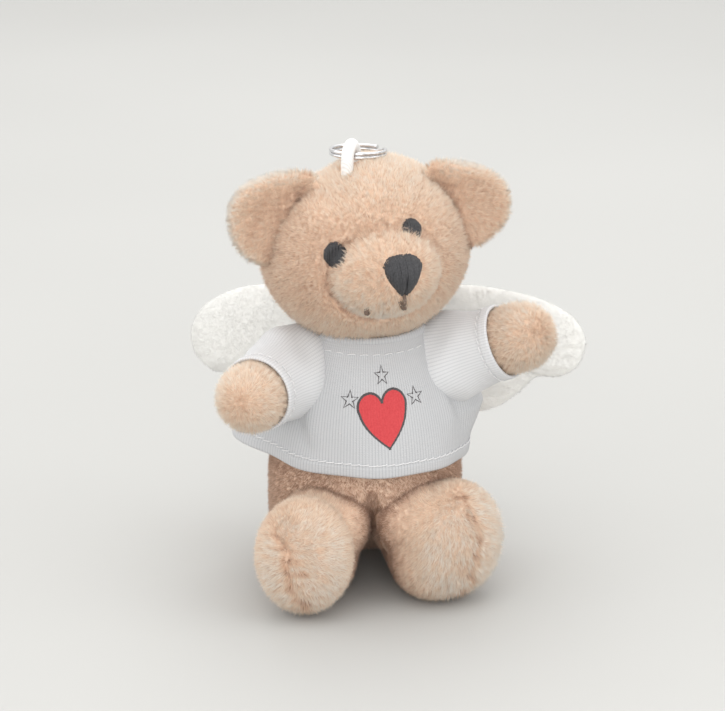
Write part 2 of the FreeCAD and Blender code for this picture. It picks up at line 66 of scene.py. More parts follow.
def near(points, spot, width):
    # 1 at a spot, less round it
    return hill(np.linalg.norm(points - spot, axis=1), width)


def apart(turn, middle):
    # difference of two turns, the short way round
    return (turn - middle + math.pi) % (2 * math.pi) - math.pi


def ripple(points, wavelength, seed, waves=6):
    # soft random waves through space, about -1 to 1, the same each run
    draw = np.random.default_rng(seed)
    total = np.zeros(len(points))
    for _ in range(waves):
        way = unit(draw.normal(size=3)) * 2 * math.pi / (wavelength * draw.uniform(0.7, 1.4))
        total += np.sin(points @ way + draw.uniform(0, 2 * math.pi))
    return total / math.sqrt(2 * waves)


def aimWay(azimuth, elevation):
    turn, rise = math.radians(azimuth), math.radians(elevation)
    return np.array([math.sin(turn) * math.cos(rise), -math.cos(turn) * math.cos(rise), math.sin(rise)])


def turnedFrame(turn, tilt=0.0):
    # turned about Z after a tilt about Y
    matrix = Matrix.Rotation(math.radians(turn), 3, "Z") @ Matrix.Rotation(math.radians(tilt), 3, "Y")
    return np.array(matrix)


def smoothLine(points, count, closed=False):
    # a smooth line through the points, with count points along it
    points = np.array(points, float)
    if closed:
        before, after = points[-1:], points[:2]
    else:
        before, after = 2 * points[:1] - points[1:2], 2 * points[-1:] - points[-2:-1]
    full = np.concatenate([before, points, after])
    spans = len(points) if closed else len(points) - 1
    share = np.linspace(0, spans, count, endpoint=not closed)
    index = np.minimum(share.astype(int), spans - 1)
    t = (share - index)[:, None]
    a, b, c, d = (full[index + step] for step in range(4))
    return 0.5 * (2 * b + (c - a) * t + (2 * a - 5 * b + 4 * c - d) * t**2 + (3 * b - a - 3 * c + d) * t**3)


def reachAt(line, turn):
    # how far a closed outline lies from its middle, at a turn
    lineTurn = np.arctan2(line[:, 1], line[:, 0])
    order = np.argsort(lineTurn)
    return np.interp(turn, lineTurn[order], np.linalg.norm(line, axis=1)[order], period=2 * math.pi)


def rimAt(line, place):
    # points on a closed outline, place counted in its points
    return np.stack([np.interp(place, np.arange(len(line) + 1), np.append(line[:, axis], line[0, axis]))
                     for axis in (0, 1)], axis=1)


def turned(line, turns, rows):
    # a line of radius and height turned about an axis
    share = rows * (len(line) - 1)
    radius, height = (np.interp(share, np.arange(len(line)), line[:, axis]) for axis in (0, 1))
    return radius, height, 2 * math.pi * turns


def roundPlace(radius, turn, height):
    # about the upright axis, turned from the front towards +X
    return np.stack([radius * np.sin(turn), -radius * np.cos(turn), height], axis=-1)


# mesh work
def only(piece):
    bpy.ops.object.select_all(action="DESELECT")
    piece.select_set(True)
    bpy.context.view_layer.objects.active = piece


def named(piece, name):
    piece.name = piece.data.name = name
    return piece


def readPoints(piece, kind):
    flat = np.empty(3 * len(piece.data.vertices), np.float32)
    piece.data.vertices.foreach_get(kind, flat)
    return flat.reshape(-1, 3).astype(float)


def pointsOf(piece):
    return readPoints(piece, "co") / mm


def normalsOf(piece):
    return readPoints(piece, "normal")


def movePoints(piece, points):
    piece.data.vertices.foreach_set("co", (points * mm).astype(np.float32).ravel())
    piece.data.update()


def linkedPiece(name, data):
    piece = bpy.data.objects.new(name, data)
    bpy.context.scene.collection.objects.link(piece)
    return piece


def applyModifier(piece, kind, **settings):
    only(piece)
    modifier = piece.modifiers.new(kind.lower(), kind)
    for name, value in settings.items():
        setattr(modifier, name, value)
    bpy.ops.object.modifier_apply(modifier=modifier.name)


def weldClosed(piece, gap=0.01):
    # doubles merged and faces turned outwards
    only(piece)
    bpy.ops.object.mode_set(mode="EDIT")
    bpy.ops.mesh.select_all(action="SELECT")
    bpy.ops.mesh.remove_doubles(threshold=gap * mm)
    bpy.ops.mesh.normals_make_consistent(inside=False)
    bpy.ops.object.mode_set(mode="OBJECT")


def wrappedGrid(name, columns, rows, shape, closed=False):
    # a flat grid bent into place: shape turns shares across and along it into points
    bpy.ops.object.select_all(action="DESELECT")
    bpy.ops.mesh.primitive_grid_add(x_subdivisions=columns, y_subdivisions=rows, size=1, calc_uvs=True)
    piece = named(bpy.context.object, name)
    shares = pointsOf(piece) * mm + 0.5
    movePoints(piece, shape(shares[:, 0], shares[:, 1]))
    if closed:
        weldClosed(piece)
    only(piece)
    bpy.ops.object.shade_smooth()
    return piece


def ballForm(name, balls, rounds, voxel=0.8):
    # stuffed form: stretched balls melted into one skin and smoothed some rounds
    bpy.ops.object.select_all(action="DESELECT")
    made = []
    for centre, halves, turn in balls:
        bpy.ops.mesh.primitive_uv_sphere_add(segments=64, ring_count=32, radius=mm,
                                             location=Vector(centre) * mm,
                                             rotation=[math.radians(angle) for angle in turn])
        bpy.context.object.scale = halves
        made.append(bpy.context.object)
    for piece in made:
        piece.select_set(True)
    bpy.context.view_layer.objects.active = made[0]
    bpy.ops.object.join()
    bpy.ops.object.transform_apply(location=True, rotation=True, scale=True)
    piece = named(bpy.context.object, name)
    applyModifier(piece, "REMESH", mode="VOXEL", voxel_size=voxel * mm)
    applyModifier(piece, "SMOOTH", factor=0.5, iterations=rounds)
    bpy.ops.object.shade_smooth()
    return piece


def roundTubes(name, lines, radius, sides=6, steps=12):
    # smooth round tubes, one along each line of points
    curve = bpy.data.curves.new(name, "CURVE")
    curve.dimensions = "3D"
    curve.bevel_depth = radius * mm
    curve.bevel_resolution = sides
    curve.resolution_u = steps
    curve.use_fill_caps = True
    for line in lines:
        spline = curve.splines.new("NURBS")
        spline.points.add(len(line) - 1)
        for point, place in zip(spline.points, line):
            point.co = (*(Vector(place) * mm), 1)
        spline.order_u = 3
        spline.use_endpoint_u = True
    return linkedPiece(name, curve)


def threadTubes(name, lines, radius):
    only(roundTubes(name, lines, radius, sides=2, steps=3))
    bpy.ops.object.convert(target="MESH")
    return bpy.context.object


# materials
def shaderOf(finish):
    return finish.node_tree.nodes["Principled BSDF"]


def newFinish(name, **values):
    finish = bpy.data.materials.new(name)
    finish.use_nodes = True
    for socket, value in values.items():
        shaderOf(finish).inputs[socket.replace("_", " ")].default_value = value
    return finish


def newNode(finish, kind, inputs, **settings):
    # its inputs are numbers or the outputs of other nodes
    node = finish.node_tree.nodes.new("ShaderNode" + kind)
    for name, value in settings.items():
        setattr(node, name, value)
    for socket, value in inputs.items():
        if isinstance(value, bpy.types.NodeSocket):
            finish.node_tree.links.new(value, node.inputs[socket])
        else:
            node.inputs[socket].default_value = value
    return node.outputs


def worked(finish, operation, *values):
    return newNode(finish, "Math", dict(enumerate(values)), operation=operation)[0]


def graded(finish, factor, stops):
    outputs = newNode(finish, "ValToRGB", {0: factor})
    elements = outputs[0].node.color_ramp.elements
    while len(elements) < len(stops):
        elements.new(0.5)
    for element, (place, colour) in zip(elements, stops):
        element.position, element.color = place, (*colour, 1)
    return outputs[0]


def coloured(finish, colour):
    finish.node_tree.links.new(colour, shaderOf(finish).inputs["Base Color"])


def embossed(finish, height, depth, strength=1.0):
    bump = newNode(finish, "Bump", {"Strength": strength, "Distance": depth * mm, "Height": height})
    finish.node_tree.links.new(bump[0], shaderOf(finish).inputs["Normal"])


def mapParts(finish, name):
    # the two directions of a piece's own map
    return newNode(finish, "SeparateXYZ", {0: newNode(finish, "UVMap", {}, uv_map=name)[0]})


def mottled(finish, dark, pale, scale, detail, depth=0.0, strength=1.0):
    # colour and relief from one fine noise
    where = newNode(finish, "TexCoord", {})["Object"]
    grain = newNode(finish, "TexNoise", {"Vector": where, "Scale": scale, "Detail": detail})["Fac"]
    coloured(finish, graded(finish, grain, [(0.3, dark), (0.7, pale)]))
    if depth:
        embossed(finish, grain, depth, strength)
    return finish


def furFinish(name, stops, rootPaintedShade, midPaintedShade):
    # shade runs across the strand's map, root to tip runs up it; roots are painted darker as shade deep in
    # the pile, tips paler as painted light
    finish = newFinish(name, Roughness=0.9, Sheen_Weight=0.08, Sheen_Roughness=0.5, Specular_IOR_Level=0.1,
                       Sheen_Tint=(1.0, 0.90, 0.80, 1))
    parts = mapParts(finish, "OFBake")
    colour = graded(finish, parts[0], stops)
    depth = graded(finish, parts[1], [(0.1, rootPaintedShade), (0.5, midPaintedShade), (0.85, (1.0, 1.0, 1.0))])
    mix = newNode(finish, "Mix", {0: 1.0, 6: colour, 7: depth}, data_type="RGBA", blend_type="MULTIPLY")
    coloured(finish, mix[2])
    return finish


tanStops = [(0.0, (0.46, 0.29, 0.215)), (0.22, (0.72, 0.50, 0.38)), (0.42, (0.91, 0.69, 0.535)),
            (0.65, (0.995, 0.83, 0.67)), (1.0, (1.0, 0.95, 0.87))]
tanFur = furFinish("tanFur", tanStops, (0.78, 0.62, 0.52), (0.95, 0.90, 0.86))
fleeceStops = [(0.0, (0.86, 0.855, 0.82)), (0.5, (0.89, 0.885, 0.855)), (1.0, (0.92, 0.915, 0.89))]
fleeceNap = furFinish("fleeceNap", fleeceStops, (0.97, 0.97, 0.96), (1.0, 1.0, 1.0))


def backingFinish(name, dark, pale):
    return mottled(newFinish(name, Roughness=0.9, Specular_IOR_Level=0.2), dark, pale, 900, 4, 0.15)


plushBacking = backingFinish("plushBacking", (0.66, 0.47, 0.35), (0.80, 0.60, 0.46))
fleeceBacking = backingFinish("fleeceBacking", (0.84, 0.835, 0.80), (0.88, 0.875, 0.85))


def knitFinish(name, pale):
    # one map unit is a wale across and a course along
    finish = newFinish(name, Roughness=0.8, Sheen_Weight=0.15, Specular_IOR_Level=0.3)
    parts = mapParts(finish, "UVMap")
    off = worked(finish, "ABSOLUTE", worked(finish, "SUBTRACT", worked(finish, "FRACT", parts[0]), 0.5))
    slanted = worked(finish, "ADD", parts[1], worked(finish, "MULTIPLY", off, 0.9))
    loops = worked(finish, "SINE", worked(finish, "MULTIPLY", slanted, 2 * math.pi))
    fromMiddle = worked(finish, "MULTIPLY", off, 2.0)
    groove = worked(finish, "MULTIPLY", worked(finish, "POWER", fromMiddle, 3.0), -1.6)
    embossed(finish, worked(finish, "ADD", worked(finish, "MULTIPLY", loops, 0.35), groove), 0.035)
    # colour darker towards each wale's edges: painted shade in the grooves between the wales
    stops = [(0.0, (0, 0.005, 0.015)), (0.6, (-0.01, -0.005, 0.005)), (1.0, (-0.12, -0.113, -0.098))]
    stops = [(place, [pale + step for step in steps]) for place, steps in stops]
    coloured(finish, graded(finish, fromMiddle, stops))
    return finish


# one white jersey: the shirt and neckband are painted darker as shade under the head, the sleeves paler as
# painted light
shadedShirtJersey = knitFinish("shadedShirtJersey", 0.535)
litSleeveJersey = knitFinish("litSleeveJersey", 0.68)


def threadFinish(name, dark, pale, roughness=0.55):
    return mottled(newFinish(name, Roughness=roughness, Sheen_Weight=0.1), dark, pale, 2600, 3, 0.04)


blackThread = threadFinish("blackThread", (0.022, 0.022, 0.025), (0.055, 0.055, 0.06), 0.5)
brownThread = threadFinish("brownThread", (0.10, 0.065, 0.045), (0.17, 0.11, 0.08))
whiteThread = threadFinish("whiteThread", (0.68, 0.68, 0.69), (0.78, 0.78, 0.78))
tanThread = threadFinish("tanThread", (0.50, 0.35, 0.26), (0.62, 0.45, 0.34))
redInk = threadFinish("redInk", (0.54, 0.036, 0.044), (0.62, 0.06, 0.067), 0.7)
darkInk = threadFinish("darkInk", (0.045, 0.04, 0.042), (0.09, 0.08, 0.082), 0.7)
polishedSteel = mottled(newFinish("polishedSteel", Metallic=1.0, Roughness=0.18),
                        (0.60, 0.60, 0.61), (0.80, 0.80, 0.81), 1800, 5, 0.01, 0.6)


def cordFinish(name):
    finish = newFinish(name, Roughness=0.6, Sheen_Weight=0.3)
    where = newNode(finish, "TexCoord", {})["Object"]
    weave = newNode(finish, "TexWave", {"Scale": 700, "Distortion": 1.5, "Vector": where},
                    bands_direction="DIAGONAL")["Fac"]
    coloured(finish, graded(finish, weave, [(0.0, (0.80, 0.80, 0.79)), (1.0, (0.91, 0.91, 0.90))]))
    embossed(finish, weave, 0.08)
    return finish


whiteCord = cordFinish("whiteCord")
print("materials made")


def declared(piece, slot, body, *nodes):
    # a piece's slot (not used), the nodes that it stands for and its body; given two bodies and where it
    # bends, it only bakes the piece's transform in
    if nodes:
        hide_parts(*nodes)
    if isinstance(body, str):
        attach(piece, body)
    else:
        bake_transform(piece)


def finished(piece, finish, *declaring):
    piece.data.materials.clear()
    piece.data.materials.append(finish)
    declared(piece, *declaring)


def bending(parent, body, root, way, low, high):
    return parent, body, root + way * low, root + way * high


# camera, floor and light
view = {"aim": (1.82, 15.26, 47.27), "azimuth": -9.0, "elevation": 18.0, "distance": 600.0, "lens": 126.8,
        "sensor": 36, "near": 0.01}
back = Vector(aimWay(view["azimuth"], view["elevation"]))
bpy.ops.object.select_all(action="DESELECT")
bpy.ops.object.camera_add(location=(Vector(view["aim"]) + back * view["distance"]) * mm)
camera = bpy.context.object
camera.rotation_euler = (-back).to_track_quat("-Z", "Y").to_euler()
camera.data.lens = view["lens"]
camera.data.sensor_width = view["sensor"]
camera.data.clip_start = view["near"]
bpy.context.scene.camera = camera

bpy.ops.mesh.primitive_plane_add(size=6)
floor = named(bpy.context.object, "floor")
floor.data.materials.append(mottled(newFinish("paleFloor", Roughness=0.9, Specular_IOR_Level=0.2),
                                    (0.50, 0.50, 0.485), (0.53, 0.53, 0.515), 3, 2))

# place and size in metres, power in watts
lamps = {"key": ((-0.30, -0.60, 0.75), 0.7, 1.35, (1.0, 0.99, 0.97)), "side": ((0.65, -0.35, 0.50), 0.7, 1.2),
         "top": ((0.05, 0.0, 0.90), 0.7, 1.8), "rear": ((0.10, 0.60, 0.75), 0.7, 2.6),
         "far": ((-0.75, 0.10, 0.35), 0.7, 1.2), "low": ((-0.08, -0.80, 0.22), 0.42, 1.6)}


def softLamp(place, size, power, colour=(1, 1, 1)):
    bpy.ops.object.light_add(type="AREA", location=place)
    lamp = bpy.context.object
    lamp.data.size = size
    lamp.data.energy = power
    lamp.data.color = colour
    lamp.rotation_euler = (Vector((0, 0, 0.05)) - Vector(place)).to_track_quat("-Z", "Y").to_euler()


for lampSet in lamps.values():
    softLamp(*lampSet)
world = bpy.data.worlds.new("studio")
bpy.context.scene.world = world
world.use_nodes = True
fill = world.node_tree.nodes["Background"]
fill.inputs[0].default_value = (1.0, 0.99, 0.98, 1)
fill.inputs[1].default_value = 0.95
bpy.context.scene.view_settings.view_transform = "Standard"
print("camera and light set")

# cord loop through the split ring, and its knot inside the head
loop = {"base": (-4.0, -5.2, 99.0), "turn": 24.0, "halfWidth": 3.1, "rise": 3.9, "diameter": 2.8, "tail": 9.8,
        "length": 31.0, "knotRadius": 1.1, "knotSpread": 0.62, "knotRise": 0.9, "knotDrop": 2.4}


def loopRoute():
    top = loop["base"][2] + loop["rise"]
    corner = loop["halfWidth"] * math.tan(math.radians(22.5))
    inside = 0.5 * loop["diameter"] + 0.05
    low = loop["base"][2] - loop["tail"]
    up = [(-inside, low), (-inside - 0.35, low + 3.0), (-loop["halfWidth"], loop["base"][2] - 1.5),
          (-loop["halfWidth"] - 0.1, top - loop["halfWidth"] + corner), (-corner, top)]
    over = up + [(-across, height) for across, height in reversed(up)]
    turn = math.radians(loop["turn"])
    return [(loop["base"][0] + across * math.sin(turn), loop["base"][1] + across * math.cos(turn), height)
            for across, height in over]


route = loopRoute()
cordLoop = roundTubes("cordLoop", [route], 0.5 * loop["diameter"])
knotCentre = Vector((loop["base"][0], loop["base"][1], route[0][2] - loop["knotDrop"]))
knotPoints = []
for step in range(37):
    turn = 2 * math.pi * step / 36
    knotPoints.append(knotCentre + Vector(((math.sin(turn) + 2 * math.sin(2 * turn)) * loop["knotSpread"],
                                           (math.cos(turn) - 2 * math.cos(2 * turn)) * loop["knotSpread"],
                                           -math.sin(3 * turn) * loop["knotRise"])))
cordKnot = roundTubes("cordKnot", [knotPoints], loop["knotRadius"])
finished(cordLoop, whiteCord, "cord", "head", "cord_loop")
finished(cordKnot, whiteCord, "cord", "head", "cord_knot")
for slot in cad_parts["split_ring"].material_slots:
    slot.material = polishedSteel
print("cord and ring made")


# fur: closed strands scattered over a stuffed form, combed along it
pile = {"strays": 0.12, "strayReach": 1.25, "strayLean": 0.6, "bedded": 0.25, "lowest": 0.02,
        "ownSides": 0.65}
plainCoat = {"messy": 0.18, "rows": 0.0, "rowPaintedShading": 0.0, "rowGap": 1.3, "rowsFrom": (0, 0, 0), "rowSeed": 18,
             "depth": 0.6, "mottle": 0.10, "wave": 1.3, "thick": 0.075}


def scattered(base, perMm2, seed):
    mesh = base.data
    mesh.calc_loop_triangles()
    corners = np.empty(3 * len(mesh.loop_triangles), np.int32)
    mesh.loop_triangles.foreach_get("vertices", corners)
    corners = corners.reshape(-1, 3)
    points, normals = pointsOf(base), normalsOf(base)
    a, b, c = (points[corners[:, index]] for index in range(3))
    area = 0.5 * np.linalg.norm(np.cross(b - a, c - a), axis=1)
    draw = np.random.default_rng(seed)
    count = int(area.sum() * perMm2)
    picked = np.minimum(np.searchsorted(np.cumsum(area) / area.sum(), draw.random(count)), len(area) - 1)
    first, second = draw.random(count), draw.random(count)
    over = first + second > 1
    first[over], second[over] = 1 - first[over], 1 - second[over]
    weights = np.stack([1 - first - second, first, second], axis=1)[:, :, None]
    return [(values[corners[picked]] * weights).sum(axis=1) for values in (points, normals)]


def strandMesh(name, low, tips, shades, facing):
    # a strand is three low corners and a tip, mapped with its shade across and root to tip upwards
    count = len(tips)
    points = np.concatenate([low, tips[:, None]], axis=1).reshape(-1, 3)
    points[:, 2] = np.maximum(points[:, 2], pile["lowest"])
    mesh = bpy.data.meshes.new(name)
    mesh.vertices.add(len(points))
    mesh.vertices.foreach_set("co", (points * mm).astype(np.float32).ravel())
    corner = np.array([0, 1, 3, 1, 2, 3, 2, 0, 3, 0, 2, 1])
    loops = (corner[None] + 4 * np.arange(count)[:, None]).ravel()
    mesh.loops.add(len(loops))
    mesh.loops.foreach_set("vertex_index", loops.astype(np.int32))
    mesh.polygons.add(4 * count)
    mesh.polygons.foreach_set("loop_start", (3 * np.arange(4 * count)).astype(np.int32))
    mesh.update(calc_edges=True)
    sideways, upwards = np.array([-0.02, 0.0, 0.02, 0.0]), np.array([0.03, 0.03, 0.03, 0.97])
    places = np.empty((count, 12, 2), np.float32)
    places[:, :, 0] = np.clip(shades, 0.03, 0.97)[:, None] + sideways[corner][None]
    places[:, :, 1] = upwards[corner][None]
    mesh.uv_layers.new(name="OFBake").data.foreach_set("uv", places.ravel())
    mesh.shade_smooth()
    mesh.normals_split_custom_set_from_vertices(facing.reshape(-1, 3).astype(np.float32))
    return linkedPiece(name, mesh)


def growFur(name, base, coat, comb, shade, where, lengthAt=None, grain=None):
    roots, normals = scattered(base, coat["perMm2"], coat["seed"])
    normals = unit(normals)
    kept = where(roots)
    roots, normals = roots[kept], normals[kept]
    count = len(roots)
    draw = np.random.default_rng(coat["seed"] + 1)
    flow = comb(roots)
    flow = unit(flow - normals * np.sum(flow * normals, axis=1, keepdims=True))
    # tufts, and rows of crushed pile across the flow, both show in the light and in the shade; the rows'
    # ridges are painted paler and their grooves darker, as painted light and shade
    drawnOut = grain(roots) if grain else roots
    wander = 2.2 * ripple(roots, 5.0, coat["rowSeed"])
    rows = np.sin(2 * math.pi * np.linalg.norm(roots - coat["rowsFrom"], axis=1) / coat["rowGap"] + wander)
    rows = rows * np.clip(0.6 + 0.7 * ripple(roots, 3.0, coat["rowSeed"] + 3), 0, 1.2)
    tufts = [ripple(drawnOut, coat["wave"], coat["seed"] + 5 + step) for step in (0, 100, 200)]
    relief = coat["tuft"] * np.stack(tufts, axis=1) + coat["rows"] * rows[:, None] * flow
    lean = coat["lean"] * flow + relief + coat["messy"] * draw.normal(size=(count, 3))
    reach = coat["length"] * draw.uniform(0.8, 1.15, count)
    stray = draw.random(count) < pile["strays"]
    reach[stray] *= pile["strayReach"]
    lean[stray] *= pile["strayLean"]
    if lengthAt is not None:
        reach = reach * lengthAt(roots)
    way = unit(0.8 * normals + lean)
    tips = roots + way * reach[:, None]
    side = unit(np.cross(way, draw.normal(size=(count, 3))))
    other = np.cross(way, side)
    rounds = [(math.cos(turn), math.sin(turn)) for turn in (0, 2 * math.pi / 3, 4 * math.pi / 3)]
    sides = np.stack([side * x + other * y for x, y in rounds], axis=1)
    thick = coat["thick"] * draw.uniform(0.8, 1.2, count)[:, None, None]
    low = (roots - pile["bedded"] * normals)[:, None] + thick * sides
    # the pile is lit as one soft surface: each strand mostly faces as the form under it does
    form = normals + coat["depth"] * relief
    roundRoot, atTip = unit(form[:, None] + pile["ownSides"] * sides), unit(form + 0.3 * way)[:, None]
    # the rows' share of the tone is painted light and shade
    tones = (shade(roots) + coat["mottle"] * ripple(drawnOut, 1.3 * coat["wave"], coat["seed"] + 9)
             + coat["rowPaintedShading"] * rows + 0.08 * draw.normal(size=count))
    return strandMesh(name, low, tips, tones, np.concatenate([roundRoot, atTip], axis=1))


def furHalves(pad, side, titles, coat, looks, halves, spot, across, comb, shade, shown, *lengthAndGrain):
    # a limb's fur, one piece on each side of the plane of its seam
    fur, limb = titles
    for panel, half, seedStep in halves:
        ownCoat = dict(coat, seed=coat["seed"] + seedStep)
        piece = growFur(f"{fur}{side.title()}{panel}", pad, ownCoat, comb, shade,
                        lambda p: (half * ((p - spot) @ across) > 0) & shown(p), *lengthAndGrain)
        finished(piece, *looks, f"{limb}_{side}_{panel.lower()}_panel")


# head
head = {"centre": (-0.5, -3.0, 79.0), "halves": (23.0, 20.2, 20.2), "turn": 8.0, "tilt": -6.0,
        "gusset": 7.0, "muzzle": (1.2, -19.5, 77.6), "muzzleHalves": (11.6, 9.9, 9.4),
        "neck": (0, -1, 57), "neckRadius": 6.0,
        "pressed": 0.1, "crease": 1.1, "socket": 0.7, "lowered": 2.2, "mouthCorner": (-3.4, -25.4, 71.1),
        "cheekTuft": (-20.5, -11.0, 66.5), "cordBare": 2.6, "collarTop": 59.5}
headTurn = turnedFrame(head["turn"], head["tilt"])
headAxis = headTurn @ np.array([1.0, 0, 0])


def patchOn(place, ball):
    # a spot on one of the head's balls: its point, normal, sideways and upwards
    centre, halves = (np.array(head[part]) for part in ball)
    local = headTurn.T @ (np.array(place) - centre)
    local = local / np.linalg.norm(local / halves)
    normal = unit(headTurn @ (local / halves**2))
    right = unit(np.cross([0, 0, 1], normal))
    up = np.cross(normal, right)
    return {"spot": centre + headTurn @ local, "normal": normal, "right": right, "up": up}


def patchPoint(patch, across, up, out=0.0):
    return patch["spot"] + patch["right"] * across + patch["up"] * up + patch["normal"] * out


def patchShares(patch, points):
    away = points - patch["spot"]
    return away @ patch["right"], away @ patch["up"], away @ patch["normal"]


skull, snout = ("centre", "halves"), ("muzzle", "muzzleHalves")
eyes = {"left": patchOn((-10.2, -21.6, 82.5), skull), "right": patchOn((7.4, -20.2, 87.2), skull)}
eyeSize = {"width": 5.0, "height": 5.6, "rightShare": 0.9}
noseSize = {"width": 9.2, "height": 8.9, "place": (3.9, -28.1, 79.2)}
noseSpot = patchOn(noseSize["place"], snout)
noseShares = [(0.0, 0.5), (0.36, 0.42), (0.5, 0.14), (0.34, -0.24), (0.0, -0.5), (-0.34, -0.24), (-0.5, 0.14),
              (-0.36, 0.42)]
noseLine = smoothLine(noseShares, 96, closed=True) * (noseSize["width"], noseSize["height"])


def ballReach(points, ball, grow):
    # 1 on the outline of one of the head's balls, less inside it
    centre, halves = (np.array(head[part]) for part in ball)
    return np.linalg.norm(((points - centre) @ headTurn) / (halves + grow), axis=1)


def muzzleShare(points):
    return ballReach(points, snout, 0.35)


def lowLeft(points):
    # 1 at the muzzle's lower left, 0 at its upper right
    away = points - head["muzzle"]
    return ramp(-0.8 * away[:, 0] - 0.6 * away[:, 2], -3, 6)


leaning = (0, head["tilt"], head["turn"])
headBalls = [(head["centre"], head["halves"], leaning), (head["muzzle"], head["muzzleHalves"], leaning),
             (head["neck"], (head["neckRadius"],) * 3, (0, 0, 0))]
headPad = ballForm("headPad", headBalls, rounds=4)
points, normals = pointsOf(headPad), normalsOf(headPad)
for patch in eyes.values():
    points = points - normals * (head["socket"] * near(points, patch["spot"], 3.4))[:, None]
# the crown is lower on one side, a crease runs round the muzzle, and the chin rests on the collar
points[:, 2] -= head["lowered"] * hill(points[:, 0] + 9.5, 5.0) * ramp(points[:, 2], 88, 96)
creased = head["crease"] * hill(muzzleShare(points) - 1.06, 0.10) * (0.35 + 0.65 * lowLeft(points))
points = points - normals * creased[:, None]
fromNeck = np.hypot(points[:, 0], points[:, 1] + 1)
points[:, 2] += head["pressed"] * ramp(points[:, 2], 70, 61) * ramp(fromNeck, 5, 9)
movePoints(headPad, points)
finished(headPad, plushBacking, "stuffing", "head", "head_stuffing")


def onFace(points, showing=("left", "right")):
    # where the nose and the eyes leave no fur
    across, up, out = patchShares(noseSpot, points)
    bare = (out > -5) & (np.hypot(across, up) < reachAt(noseLine, np.arctan2(up, across)) - 0.15)
    for side in showing:
        across, up, out = patchShares(eyes[side], points)
        across, up = across / (0.5 * eyeSize["width"]), up / (0.5 * eyeSize["height"])
        bare |= (out > -3) & (across**2 + up**2 < 1.15)
    return bare


def headComb(points):
    # from the nose out over the face, and down at the back
    away = unit(points - noseSpot["spot"])
    rear = ramp(points[:, 1], -6, 6)[:, None]
    return away * (1 - rear) + rear * np.array([0, 0.25, -1.0]) + np.array([-0.25, 0, 0.15])


def headToneAndPaintedLight(points):
    y, z = points.T[1:]
    # painted light: paler on the crown, and low at the front under the chin
    tone = 0.48 + 0.20 * ramp(z, 86, 98) + 0.14 * ramp(z, 72, 64) * ramp(-y, -2, 10)
    # painted shade round the sunk eyes
    for patch in eyes.values():
        tone = tone - 0.12 * near(points, patch["spot"], 3.6)
    share = muzzleShare(points)
    # painted shade in the muzzle's crease, most at its lower left; the muzzle itself is paler
    crease = hill(share - 1.08, 0.06) * (0.25 + 0.75 * lowLeft(points))
    tone = tone + 0.18 * ramp(share, 1.03, 0.9) - 0.26 * crease
    # painted shade round the nose's dip and at the mouth's corner
    tone = tone - 0.10 * near(points, noseSpot["spot"], 5.5) - 0.25 * near(points, head["mouthCorner"], 1.6)
    # painted light on the muzzle's underside
    tone = tone + 0.28 * ramp(z, 78, 70) * ramp(share, 1.0, 0.85)
    return tone + 0.05 * (points @ headAxis) / head["halves"][0]


def headFurred(points):
    # no fur on the face's patches, where the neck sits in the collar or where the cord goes in
    cordHere = np.linalg.norm(points[:, :2] - loop["base"][:2], axis=1) < head["cordBare"]
    return ((muzzleShare(points) >= 1) & ~onFace(points) & (points[:, 2] > head["collarTop"])
            & ~(cordHere & (points[:, 2] > 90)))


def headLength(points):
    # one loose tuft low on the cheek, short pile in the muzzle's crease
    crease = hill(muzzleShare(points) - 1.07, 0.06) * (0.3 + 0.7 * lowLeft(points))
    return 1 + 1.6 * near(points, head["cheekTuft"], 1.3) - 0.35 * crease + 0.25 * ramp(points[:, 2], 66, 61)


headCoat = dict(plainCoat, perMm2=22.0, length=1.45, lean=0.35, tuft=0.4, rows=0.7, rowPaintedShading=0.20,
                rowsFrom=noseSize["place"], seed=11)
muzzleCoat = dict(headCoat, rows=0.3, rowPaintedShading=0.08, tuft=0.55, wave=1.6, mottle=0.13, seed=31)
headParts = {"Left": ("head_left_panel", lambda off: off < -head["gusset"]),
             "Right": ("head_right_panel", lambda off: off > head["gusset"]),
             "Middle": ("head_gusset", lambda off: np.abs(off) <= head["gusset"])}
for name, (node, here) in headParts.items():
    fur = growFur("headFur" + name, headPad, headCoat, headComb, headToneAndPaintedLight,
                  lambda p: here((p - head["centre"]) @ headAxis) & headFurred(p), headLength)
    finished(fur, tanFur, "plush", "head", node)
muzzleFur = growFur("muzzleFur", headPad, muzzleCoat, headComb, headToneAndPaintedLight,
                    lambda p: (muzzleShare(p) < 1) & ~onFace(p, ["left"]))
finished(muzzleFur, tanFur, "muzzle_plush", "head", "muzzle_panel")
print("head made")


# embroidery: satin threads side by side over a low pad
def spanAt(line, across):
    nextLine = np.roll(line, -1, axis=0)
    crossing = (line[:, 0] - across) * (nextLine[:, 0] - across) < 0
    share = (across - line[crossing, 0]) / (nextLine[crossing, 0] - line[crossing, 0])
    heights = line[crossing, 1] + share * (nextLine[crossing, 1] - line[crossing, 1])
    return heights.min(), heights.max()


def onHead(patch, across, up):
    # height of the head's surface above the patch's plane
    start = Vector(patchPoint(patch, across, up, 6)) * mm
    hit, spot, _, _ = headPad.ray_cast(start, Vector(-patch["normal"]))
    return (np.array(spot) / mm - patch["spot"]) @ patch["normal"] if hit else -1.0


def tuckedBy(patch, across, up):
    # how far the threads sink where the muzzle lies over the patch
    return 1.6 * float(ramp(muzzleShare(patchPoint(patch, across, up)[None])[0], 1.04, 0.98))


